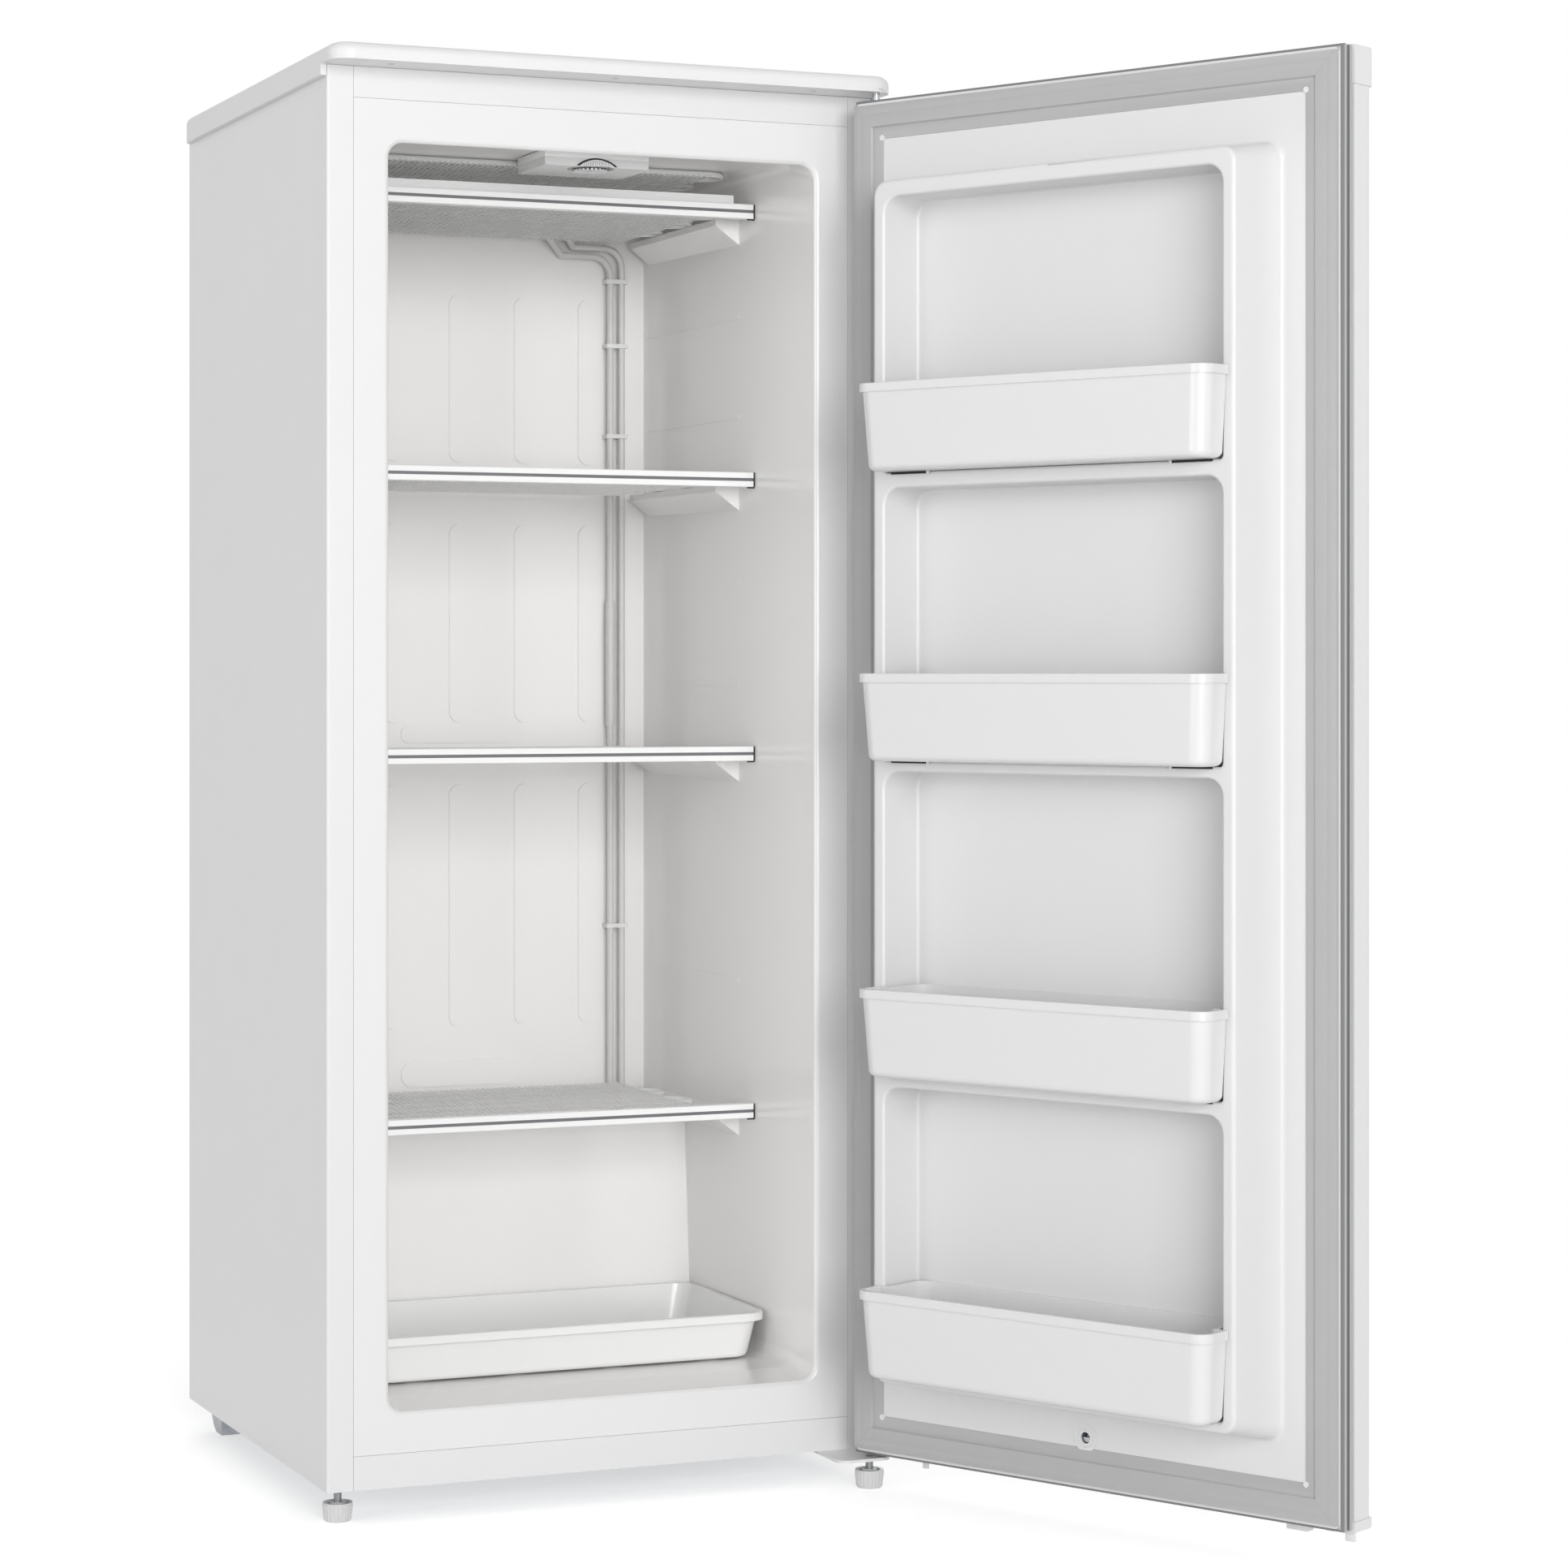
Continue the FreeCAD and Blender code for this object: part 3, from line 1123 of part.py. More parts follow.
def door_liner():
    """Formed inner face of the door."""
    liner = door_core(LINER_T).cut(door_core(0))
    boss = rod(V(0, -DOOR_BACK - LINER_T, LOCK_Z), V(0, LOCK_BOSS_H - DOOR_BACK, LOCK_Z), LOCK_BOSS_R)
    hole = rod(V(0, -SKIN_RIM, LOCK_Z), V(0, 0, LOCK_Z), LOCK_BORE)
    return fuse(liner, boss).cut(hole)


def door_foam():
    """Insulation between the outer skin, the caps and the door liner."""
    z0, z1 = DOOR_Z0 + CAP_T, DOOR_Z1 - CAP_T
    block = door_block(SHEET, SKIN_RIM + SHEET, z0, z1)
    half = DOOR_HALF - RETURN_W
    outline = upright(-half, half, z0 + RETURN_W, z1 - RETURN_W, PAN_R, -SKIN_RIM - 2 * SHEET)
    plug = slab(outline, V(0, SKIN_RIM + 2 * SHEET - PAN_BACK, 0))
    foam = fuse(block, plug, door_core(0))
    lock = rod(V(0, -DOOR_FRONT - 1, LOCK_Z), V(0, 0, LOCK_Z), LOCK_R)
    low = pin_hole(DOOR_Z0, DOOR_Z0 + BUSH_L + FIT, BOSS_R)
    high = pin_hole(DOOR_Z1 - BUSH_L - FIT, DOOR_Z1, BOSS_R)
    return foam.cut([lock, low, high])


def door_cap(z0, z1, closed_low):
    """End cap of the door with the boss that holds a hinge bushing."""
    half = DOOR_HALF + CAP_PROUD
    front = -DOOR_FRONT - CAP_PROUD
    outer = box(-half, half, front, -PAN_BACK - FIT, z0, z1)
    outer = round_upright(outer, CAP_R, lambda e: e.CenterOfMass.y < front + 1)
    end = z0 if closed_low else z1
    rim = [e for e in outer.Edges if abs(e.BoundBox.ZMin - end) < EPS and abs(e.BoundBox.ZMax - end) < EPS]
    outer = outer.makeFillet(CAP_EDGE_R, [e for e in rim if e.BoundBox.YMin < -PAN_BACK - SHEET])
    low = z0 + CAP_T if closed_low else z0 - 1
    high = z1 + 1 if closed_low else z1 - CAP_T
    inner = door_block(SHEET, SKIN_RIM + SHEET, low, high)
    half = DOOR_HALF - RETURN_W + FIT
    plug = box(-half, half, -SKIN_RIM - 2 * SHEET, 0, low, high)
    plug.translate(V(0, 0, RETURN_W - FIT if closed_low else FIT - RETURN_W))
    start = z0 if closed_low else z1 - BUSH_L
    boss = pin_hole(start, start + BUSH_L, BOSS_R)
    boss = boss.common(box(-DOOR_HALF, DOOR_HALF, front, -SKIN_RIM - SHEET, z0, z1))
    return fuse(outer.cut([inner, plug]), boss).cut(pin_hole(start, start + BUSH_L, BUSH_R))


def hinge_bushings():
    """Plain bushings in the two caps."""
    rings = []
    for z0 in (DOOR_Z0, DOOR_Z1 - BUSH_L):
        z1 = z0 + BUSH_L
        rings.append(pin_hole(z0, z1, BUSH_R).cut(pin_hole(z0, z1, PIN_R, RUN_FIT)))
    return Part.makeCompound(rings)


def gasket():
    """Magnetic gasket: a bulb outside and a flat skirt inside, mitred at the corners."""
    def block(inset, y0, y1):
        half = GASKET_HALF - inset
        return box(-half, half, y0, y1, GASKET_Z0 + inset, GASKET_Z1 - inset)

    def frame(inset0, inset1, y0, y1):
        return block(inset0, y0, y1).cut(block(inset1, y0, y1))

    bulb = frame(0, GASKET_BULB, -DOOR_BACK, -SEAL_GAP)
    skirt = frame(GASKET_BULB - 1, GASKET_W, -DOOR_BACK, -DOOR_BACK + GASKET_SKIRT)
    inset = (GASKET_BULB - MAGNET_W) / 2 - FIT
    y0 = -DOOR_BACK + MAGNET_BACK
    tunnel = frame(inset, inset + MAGNET_W + 2 * FIT, y0, y0 + MAGNET_T + 2 * FIT)
    return fuse(bulb, skirt).cut(tunnel)


def gasket_magnets():
    """Magnet strips, one in each side of the gasket."""
    inset = (GASKET_BULB - MAGNET_W) / 2
    y0 = -DOOR_BACK + MAGNET_BACK + FIT
    x0, x1 = -GASKET_HALF + inset, GASKET_HALF - inset
    z0, z1 = GASKET_Z0 + inset, GASKET_Z1 - inset
    w = MAGNET_W
    y1 = y0 + MAGNET_T
    strips = [box(x, x + w, y0, y1, z0, z1) for x in (x0, x1 - w)]
    strips += [box(x0 + w + SHEET, x1 - w - SHEET, y0, y1, z, z + w) for z in (z0, z1 - w)]
    return Part.makeCompound(strips)


def door_bin(z):
    """Bin: a tapered front over the door liner's crest and a back part in the recess."""
    top = z + BIN_H
    y_crest = DIKE_H + 2 * FIT
    y_back = RECESS_Y + 2 * FIT
    y_start = y_crest - BIN_R

    def ahead(y, high=top):
        return box(-DOOR_HALF, DOOR_HALF, y, 2 * BIN_FRONT, z, high)

    def front(shrink, low):
        half = BIN_HALF - BIN_RIM_T - BIN_TAPER - shrink
        y1 = BIN_FRONT - BIN_RIM_T - shrink
        bottom = level(-half, half, y_start + shrink, y1 - BIN_TAPER, BIN_R - shrink, low)
        half += BIN_TAPER
        head = level(-half, half, y_start + shrink, y1, BIN_R - shrink, top)
        return loft(bottom, head).common(ahead(y_crest + shrink))

    def rear(shrink, low):
        half = BIN_INNER_HALF - shrink
        outline = level(-half, half, y_back + shrink, y_crest + 2 * BIN_R, BIN_R - shrink, low)
        return slab(outline, V(0, 0, top - low)).cut(ahead(BIN_FRONT - BIN_R - shrink))

    band = level(-BIN_HALF, BIN_HALF, y_start, BIN_FRONT, BIN_R, top - BIN_RIM_H)
    rim = slab(band, V(0, 0, BIN_RIM_H)).common(ahead(y_crest))
    rim = rim.makeFillet(BIN_RIM_T / 2, [e for e in rim.Edges if e.BoundBox.ZMin > top - EPS])
    body = fuse(front(0, z), rear(0, z))
    body = body.makeFillet(BIN_FOOT_R, [e for e in body.Edges if e.BoundBox.ZMax < z + EPS])
    low = z + BIN_WALL
    inner = fuse(front(BIN_WALL, low), rear(BIN_WALL, low))
    inner = inner.makeFillet(BIN_FOOT_R - BIN_WALL, [e for e in inner.Edges if e.BoundBox.ZMax < low + EPS])
    return fuse(body, rim).cut(inner)


def lock_housing():
    """Barrel housing through the door, with its front flange."""
    y0 = -DOOR_FRONT - LOCK_FLANGE_T
    y1 = -DOOR_BACK - LINER_T - SEAT
    body = rod(V(0, -DOOR_FRONT, LOCK_Z), V(0, y1, LOCK_Z), LOCK_R)
    flange = rod(V(0, y0, LOCK_Z), V(0, -DOOR_FRONT, LOCK_Z), LOCK_FLANGE_R)
    return fuse(body, flange).cut(rod(V(0, y0, LOCK_Z), V(0, y1, LOCK_Z), LOCK_BORE))


def lock_plug():
    """Turning plug with its key slot, and the cam on its inner end."""
    y0 = -DOOR_FRONT - LOCK_FLANGE_T
    y2 = -DOOR_BACK - LOCK_CAM_IN
    y1 = y2 - LOCK_CAM_L
    plug = rod(V(0, y0, LOCK_Z), V(0, y1, LOCK_Z), LOCK_BORE - RUN_FIT)
    slot = box(-KEY_W / 2, KEY_W / 2, y0, y0 + KEY_D, LOCK_Z - KEY_H / 2, LOCK_Z + KEY_H / 2)
    cam = rod(V(0, y1, LOCK_Z), V(0, y2, LOCK_Z), LOCK_BORE - SHEET)
    cam = cam.cut(box(-LOCK_R, LOCK_R, y1 + LOCK_CAM_STEP, y2, LOCK_Z, LOCK_Z + LOCK_R))
    return fuse(plug.cut(slot), cam)


# ---- assembly -----------------------------------------------------------------------
cavity_inside = cavity(0)
cavity_front = upright(-OPEN_HALF, OPEN_HALF, OPEN_Z0, OPEN_Z1, CORNER_R, 0)
cavity_side_mask = cavity(LINER_T / 2)

nodes = {
    "side_panel_left": side_panel(-1),
    "side_panel_right": side_panel(1),
    "back_panel": back_panel(),
    "top_plate": top_plate(),
    "front_top_rail": front_rail(CAB_Z1 - RAIL_TOP_H, CAB_Z1 - SEAM, CAB_Z1 - SEAM - SHEET),
    "front_bottom_rail": front_rail(CAB_Z0, CAB_Z0 + RAIL_BOT_H, CAB_Z0),
    "base_plate": base_plate(),
    "compressor_bay_wall": bay_wall(),
    "machine_rail": machine_rail(),
    "inner_liner": inner_liner(),
    "cabinet_foam": cabinet_foam(),
    "condenser_tube": condenser_tube(),
    "top_cover": top_cover(),
    "cover_screws": Part.makeCompound([cover_screw(x) for x in COVER_SCREW_X]),
    "evaporator_ceiling": evaporator_ceiling(),
    "shelf_stripes": shelf_stripes(),
    "top_shelf_lip": top_shelf_lip(),
    "riser_tubes": riser_tubes(),
    "riser_clips": riser_clips(),
    "joint_sleeve": joint_sleeve(),
    "thermostat_housing": thermostat_housing(),
    "thermostat_switch": thermostat_switch(),
    "thermostat_dial": thermostat_dial(),
    "bottom_tray": bottom_tray(),
    "upper_hinge": upper_hinge(),
    "lower_hinge": lower_hinge(),
    "hinge_pins": hinge_pins(),
    "hinge_screws": hinge_screws(),
    "levelling_foot_left": foot(FOOT_LEFT, CAB_Z0 + STUD_UP),
    "levelling_foot_right": foot(FOOT_RIGHT, CAB_Z0 - STUD_DOWN),
    "rear_feet": rear_feet(),
    "compressor": compressor(),
    "compressor_grommets": grommets(),
    "starter_box": starter_box(),
    "filter_drier": filter_drier(),
    "suction_line": suction_line(),
    "cord_inlet": cord_inlet(),
    "door_skin": swing(door_skin()),
    "door_cap_top": swing(door_cap(DOOR_Z1 - CAP_TOP_H, DOOR_Z1, False)),
    "door_cap_bottom": swing(door_cap(DOOR_Z0, DOOR_Z0 + CAP_BOT_H, True)),
    "door_foam": swing(door_foam()),
    "door_liner": swing(door_liner()),
    "door_gasket": swing(gasket()),
    "gasket_magnets": swing(gasket_magnets()),
    "hinge_bushings": swing(hinge_bushings()),
    "lock_housing": swing(lock_housing()),
    "lock_plug": swing(lock_plug()),
}
for number, height in enumerate(SHELF_Z, 1):
    nodes["evaporator_shelf_%d" % number] = evaporator_shelf(height)
    nodes["shelf_trim_%d" % number] = shelf_trim(height)
for number, height in enumerate(BIN_Z, 1):
    nodes["door_bin_%d" % number] = swing(door_bin(height))

os.makedirs("parts", exist_ok=True)
for name, shape in nodes.items():
    shape.exportStep("parts/%s.step" % name)
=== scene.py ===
import json
import math

import bmesh
import bpy
from bpy.props import FloatProperty, FloatVectorProperty, IntProperty, PointerProperty
from mathutils import Matrix, Vector


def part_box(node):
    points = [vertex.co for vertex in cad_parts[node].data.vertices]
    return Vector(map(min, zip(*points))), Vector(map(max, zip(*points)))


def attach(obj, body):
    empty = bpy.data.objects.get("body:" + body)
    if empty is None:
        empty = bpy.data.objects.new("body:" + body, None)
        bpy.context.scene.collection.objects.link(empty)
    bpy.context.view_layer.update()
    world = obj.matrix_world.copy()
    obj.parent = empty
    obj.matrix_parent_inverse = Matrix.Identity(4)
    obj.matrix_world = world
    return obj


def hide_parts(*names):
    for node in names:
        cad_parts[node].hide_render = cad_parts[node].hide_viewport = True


bl_info = {
    "name": "Upright freezer dressing",
    "version": (1, 0, 0),
    "blender": (4, 5, 0),
    "location": "3D View > Sidebar > Freezer",
    "description": "Surfaces, wire shelves, door seal, small parts and stage of an upright freezer",
    "category": "Object",
}

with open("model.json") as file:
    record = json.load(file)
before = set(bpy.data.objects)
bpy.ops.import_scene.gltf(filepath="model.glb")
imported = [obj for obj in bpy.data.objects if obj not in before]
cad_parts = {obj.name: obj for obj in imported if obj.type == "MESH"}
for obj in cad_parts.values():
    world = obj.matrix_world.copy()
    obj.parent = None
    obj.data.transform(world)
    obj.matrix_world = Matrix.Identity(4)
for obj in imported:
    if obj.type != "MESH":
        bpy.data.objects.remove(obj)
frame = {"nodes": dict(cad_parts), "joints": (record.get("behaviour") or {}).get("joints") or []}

MM = 0.001
DOOR = next(joint for joint in frame["joints"] if joint["child"] == "door")
PIN = Vector(DOOR["pos_m"])
OPEN_ANGLE = math.radians(-DOOR["range_deg"][0])
# Door parts are built as if the door were shut, then turned about its pin.
SWING = Matrix.Translation(PIN) @ Matrix.Rotation(OPEN_ANGLE, 4, "Z") @ Matrix.Translation(-PIN)
SHELVES = ("evaporator_shelf_1", "evaporator_shelf_2", "evaporator_shelf_3", "evaporator_shelf_4")
BEND_STEP = math.radians(15)

# Tabs under the lower cap, in mm: how far from the door's free end, width, height and depth.
DOOR_TABS = ((56, 24, 7, 12), (26, 10, 2.5, 10), (3, 11, 9.5, 3), (376, 10, 2, 8), (520, 7, 8, 3))
# Ends of the risers, in mm: how far from the left end of the tubes, and how far down from their top.
RISER_ENDS = ((0, 10), (14, 0))

# Lamps, in metres: place, the point that each faces, and the side of its square.
LAMPS = {
    "key": ((-0.9, -7.6, 1.9), (0.0, 0.0, 0.8), 3.6),
    "fill": ((-6.6, -2.4, 1.6), (0.2, -0.1, 0.8), 3.2),
    "rear": ((3.0, 6.5, 2.6), (0.0, 0.3, 0.8), 3.2),
}
PAPER = (0.92, 0.92, 0.92, 1.0)
WHITE = (1.0, 1.0, 1.0, 1.0)
CAMERA_PLACE = (-1.3927, -3.7454, 0.85785)
CAMERA_TURN = (math.radians(90), 0.0, -0.4018)
CAMERA_SHIFT = -0.0717
SENSOR = 36.0


def linear(hex_code):
    """Linear colour of an sRGB hex value."""
    shares = [int(hex_code[i:i + 2], 16) / 255 for i in (0, 2, 4)]
    return [s / 12.92 if s <= 0.04045 else ((s + 0.055) / 1.055) ** 2.4 for s in shares]


def colour(name, hex_code, description):
    """Colour that a user can change."""
    return FloatVectorProperty(
        name=name, description=description, default=linear(hex_code),
        subtype="COLOR", size=3, min=0.0, max=1.0)


def length(name, millimetres, description):
    """Length that a user can change."""
    return FloatProperty(
        name=name, description=description, default=millimetres * MM,
        min=0.0, unit="LENGTH", precision=5)


def amount(name, value, description, unit="NONE"):
    """Other value that a user can change."""
    return FloatProperty(name=name, description=description, default=value, min=0.0, unit=unit)


# ---- settings -----------------------------------------------------------------------
class FreezerColours(bpy.types.PropertyGroup):
    """Colours of the finishes."""
    steel: colour("Coated steel", "E2E2E3", "Cabinet sides, front rails and door skin")
    cover: colour("Top cover", "E4E4E4", "Moulded top cover and door caps")
    # The walls inside and the flange are one sheet: the lighter tint of the walls is painted light, the
    # greyer tint of the flange painted shade.
    liner: colour("Liner", "F4F3F2", "Storage space")
    flange: colour("Liner flange", "E4E4E4", "Front flange of the liner")
    door_liner: colour("Door liner", "E1E1E1", "Formed inside of the door")
    bins: colour("Bins", "E3E3E3", "Door bins, housing and clips")
    tray: colour("Tray", "EEEEED", "Bottom tray")
    # The seal's grey also stands as painted shade in the marks on the scale plate.
    seal: colour("Seal", "B4B4B5", "Door seal")
    # Painted shade: the web's darker grey stands for the shade in the grooves between the seal's folds.
    web: colour("Seal web", "808183", "Thin web between the folds of the seal")
    trim: colour("Shelf trim", "F8F8F8", "Extruded shelf trims")
    stripe: colour("Trim stripe", "6E6F72", "Stripe in the shelf trims")
    wire: colour("Shelf wire", "FCFCFB", "Coated wires of the shelves")
    # Painted shade: the tube is a little greyer than the wires, so that the wires stand out against the tubes
    # behind them.
    coil: colour("Shelf tube", "EFEFEE", "Coated tube of the shelves")
    tube: colour("Riser tube", "D9D8D6", "Tubes up the back corner")
    # Painted light: lighter than the bins' polystyrene of the housing itself, so that the collar's front,
    # shaded by the top rail, looks lit.
    housing: colour("Housing", "F8F8F8", "Collar of the thermostat housing")
    zinc: colour("Zinc", "B9BCC0", "Galvanised and plated steel")
    foot: colour("Feet", "D6D6D6", "Levelling feet")
    stud: colour("Studs", "8C8D90", "Threaded studs of the feet")
    foam: colour("Foam", "E7D9A8", "Insulation behind the skins")
    # The same black also stands as painted shade: in the slots under the bins, round the dial and in the arch
    # over the scale.
    black: colour("Black parts", "1B1C1E", "Compressor, boxes and rubber")
    copper: colour("Copper", "B8734A", "Filter drier and pipes")


class ShelfSizes(bpy.types.PropertyGroup):
    """Sizes of the tube-and-wire shelves."""
    wire_pitch: length("Wire pitch", 6.3, "Spacing of the wires in each layer")
    wire_radius: length("Wire radius", 0.78, "Half the thickness of a wire")
    bead: length("Weld bead", 1.45, "Half the width of the paint bead where a wire meets a tube")
    tube_radius: length("Tube radius", 3.25, "Half the thickness of the flat coil's tube")
    tube_pitch: length("Tube pitch", 45.0, "Spacing of the tube's runs")
    tube_start: length("First run", 15.9, "First run behind the front ends of the wires")
    wire_side: length("Wire side", 27.0, "Outermost wire to the ends of the coil")
    tube_sides: IntProperty(name="Tube sides", description="Faces round the tube", default=12, min=6)


class SealSizes(bpy.types.PropertyGroup):
    """Sizes of the door seal."""
    bulb: length("Bulb width", 23.5, "Width of the cushion that meets the cabinet")
    lip: length("Lip width", 12.6, "Width of the inner lip")
    crown: length("Crown", 0.35, "How much the cushion bulges")
    fold: length("Fold depth", 3.0, "Depth of the folds round the edge of the door liner")
    edge: length("Edge", 0.4, "How far the ends of the folds stand off the edge of the door liner")
    web: length("Web", 0.5, "How far the web between the folds stands off it")
    weld: length("Weld", 0.3, "Half the width of the welded mitres")
    plug: length("Corner plug", 3.0, "Half the width of the plugs at the inner corners")


class DetailSizes(bpy.types.PropertyGroup):
    """Sizes of the small parts."""
    air: length("Air", 0.05, "Air between a small part and the part behind it")
    # Painted shade: the dark strips that these sizes give stand for the shade in the slots under the bins'
    # ends.
    pad: length("Bin pad", 46.0, "Length of the pads that the bins rest on")
    pad_height: length("Pad height", 2.2, "Height of those pads")
    pad_in: length("Pad inset", 18.0, "Pads inside the ends of the bins")
    pad_gap: length("Pad gap", 0.2, "Air between the pads and the bins")
    tab: length("Tab", 3.0, "Thickness of the small tabs")
    tab_back: length("Tab inset", 4.0, "Tabs behind the inner face of the lower cap")
    tab_edge: length("Tab edge", 0.8, "Bevel of the tabs under the door")
    tab_sink: length("Tab sink", 0.5, "How far those tabs reach into the lower cap")
    boss: length("Lock boss", 14.0, "Half the width of the boss round the lock's bore")
    bore: length("Lock bore", 9.24, "Half the width of that bore")
    boss_height: length("Boss height", 1.2, "How far the boss stands out")
    tooth: length("Dial tooth", 1.3, "Half the width of the dial's teeth")
    # Painted shade: the dark disc and the dark ring stand for the shade between the dial's teeth and in the
    # slot round the dial.
    disc: length("Dial disc", 0.1, "Thickness of the dark disc under the dial")
    slot: length("Dial slot", 1.6, "Width of the slot in the housing round the dial")
    slot_depth: length("Slot depth", 0.15, "Thickness of the dark ring that shows that slot")
    # Painted shade: the dark arch stands for the shade in the opening of the housing's front.
    arch: length("Dial arch", 46.0, "Width of the arch in the housing's front")
    arch_height: length("Arch height", 8.5, "Height of that arch")
    arch_up: length("Arch up", 0.8, "Foot of the arch above the lower edge of the housing")
    arch_out: length("Arch out", 0.3, "Back of the arch before the housing's front")
    arch_depth: length("Arch depth", 0.2, "Thickness of the arch")
    plate_out: length("Plate out", 0.8, "Back of the scale plate before the housing's front")
    plate_depth: length("Plate depth", 0.4, "Thickness of the scale plate")
    # Painted shade: the grey marks stand for the shade between the ridges of the knurled wheel that the plate
    # stands for.
    tick: length("Tick", 0.7, "Width of the marks on the scale plate")
    tick_out: length("Tick out", 1.0, "Back of the marks before the housing's front")
    tick_depth: length("Tick depth", 0.6, "Depth of those marks")
    tick_pitch: length("Tick pitch", 2.024, "Spacing of those marks")
    collar_edge: length("Collar edge", 1.2, "Bevel of the housing's collar")
    collar_gap: length("Collar gap", 0.3, "Collar below the top of the housing")
    switch_gap: length("Switch gap", 0.5, "Collar above the thermostat switch")
    riser: length("Riser", 4.0, "Half the thickness of a riser")
    riser_run: length("Riser run", 12.0, "How far the end of the upper riser runs to the left")
    end: length("Trim end", 1.6, "Width of the dark ends of the shelf trims")
    end_depth: length("End depth", 0.25, "Thickness of those ends")
    hook: length("Hook", 2.0, "Depth of the hook under each end")
    hook_in: length("Hook inset", 1.0, "Hook behind the front of the trim")
    teeth: IntProperty(name="Teeth", description="Teeth round the dial", default=24, min=3)
    ticks: IntProperty(name="Ticks", description="Marks on each side of the scale's middle", default=8, min=1)


class StageSettings(bpy.types.PropertyGroup):
    """Floor, lights and camera."""
    ambient: amount("Ambient", 0.49, "Light from all sides")
    key: amount("Key light", 309.0, "Large lamp before the front", "POWER")
    fill: amount("Fill light", 72.0, "Lamp from the left", "POWER")
    rear: amount("Rear light", 120.0, "Lamp behind the object", "POWER")
    glow: amount("Floor white", 0.45, "Light of the floor itself")
    floor_size: length("Floor size", 30000.0, "Side of the floor")
    clear: length("Shaded floor", 1500.0, "How far from the object the floor still shows shade")
    lens: amount("Lens", 88.606, "Focal length on a 36 mm sensor", "CAMERA")


# ---- finishes -----------------------------------------------------------------------
def add(tree, kind, settings=None, links=None, **options):
    """Add a node: settings fill its sockets, links join sockets, options set its properties."""
    made = tree.nodes.new(kind)
    for name, value in options.items():
        setattr(made, name, value)
    for socket, value in (settings or {}).items():
        made.inputs[socket].default_value = value
    for socket, source in (links or {}).items():
        tree.links.new(source, made.inputs[socket])
    return made


def surface(name, tint, rough, mottle, relief, metallic=0.0, ior=None):
    """Finish with slight unevenness in colour, gloss and height.

    rough is (least, most, spacing in mm), mottle is (how much darker, spacing in mm) and
    relief is (height in mm, spacing in mm).
    """
    material = bpy.data.materials.new(name)
    material.use_nodes = True
    tree = material.node_tree
    shader = tree.nodes["Principled BSDF"]
    place = add(tree, "ShaderNodeTexCoord").outputs["Object"]
    cloud = add(tree, "ShaderNodeTexNoise", {"Scale": 1000 / mottle[1], "Detail": 4.0}, {"Vector": place})
    darker = [c * (1 - mottle[0]) for c in tint]
    blend = add(tree, "ShaderNodeMix", {"A": (*tint, 1.0), "B": (*darker, 1.0)},
                {"Factor": cloud.outputs["Fac"]}, data_type="RGBA")
    tree.links.new(blend.outputs["Result"], shader.inputs["Base Color"])
    haze = add(tree, "ShaderNodeTexNoise", {"Scale": 1000 / rough[2], "Detail": 3.0}, {"Vector": place})
    gloss = add(tree, "ShaderNodeMapRange", {"To Min": rough[0], "To Max": rough[1]},
                {"Value": haze.outputs["Fac"]})
    tree.links.new(gloss.outputs["Result"], shader.inputs["Roughness"])
    grain = add(tree, "ShaderNodeTexNoise", {"Scale": 1000 / relief[1], "Detail": 2.0}, {"Vector": place})
    bump = add(tree, "ShaderNodeBump", {"Strength": 1.0, "Distance": relief[0] * MM},
               {"Height": grain.outputs["Fac"]})
    tree.links.new(bump.outputs["Normal"], shader.inputs["Normal"])
    shader.inputs["Metallic"].default_value = metallic
    if ior:
        shader.inputs["IOR"].default_value = ior
    return material


def galvanised_sheet(tint):
    """Hot-dip galvanised steel sheet: grey with a crystal spangle of 8 to 15 mm."""
    material = surface("galvanised_steel", tint, (0.38, 0.55, 6), (0.18, 40), (0.01, 2), metallic=1.0)
    tree = material.node_tree
    shader = tree.nodes["Principled BSDF"]
    place = add(tree, "ShaderNodeTexCoord").outputs["Object"]
    spangle = add(tree, "ShaderNodeTexVoronoi", {"Scale": 1000 / 11}, {"Vector": place})
    grey = add(tree, "ShaderNodeRGBToBW", links={"Color": spangle.outputs["Color"]})
    share = add(tree, "ShaderNodeMapRange", {"To Min": 0.82, "To Max": 1.0}, {"Value": grey.outputs["Val"]})
    base = shader.inputs["Base Color"].links[0].from_socket
    flakes = add(tree, "ShaderNodeMix", {"Factor": 1.0}, {"A": base, "B": share.outputs["Result"]},
                 data_type="RGBA", blend_type="MULTIPLY")
    tree.links.new(flakes.outputs["Result"], shader.inputs["Base Color"])
    return material


def urethane_foam(tint):
    """Rigid polyurethane foam: matt and cream, with a cut face of fine cells."""
    material = surface("polyurethane_foam", tint, (0.85, 0.95, 10), (0.12, 20), (0.2, 1.5), ior=1.45)
    tree = material.node_tree
    shader = tree.nodes["Principled BSDF"]
    place = add(tree, "ShaderNodeTexCoord").outputs["Object"]
    cells = add(tree, "ShaderNodeTexVoronoi", {"Scale": 1000 / 1.2}, {"Vector": place})
    pits = add(tree, "ShaderNodeBump", {"Strength": 1.0, "Distance": 0.4 * MM},
               {"Height": cells.outputs["Distance"]})
    tree.links.new(pits.outputs["Normal"], shader.inputs["Normal"])
    return material


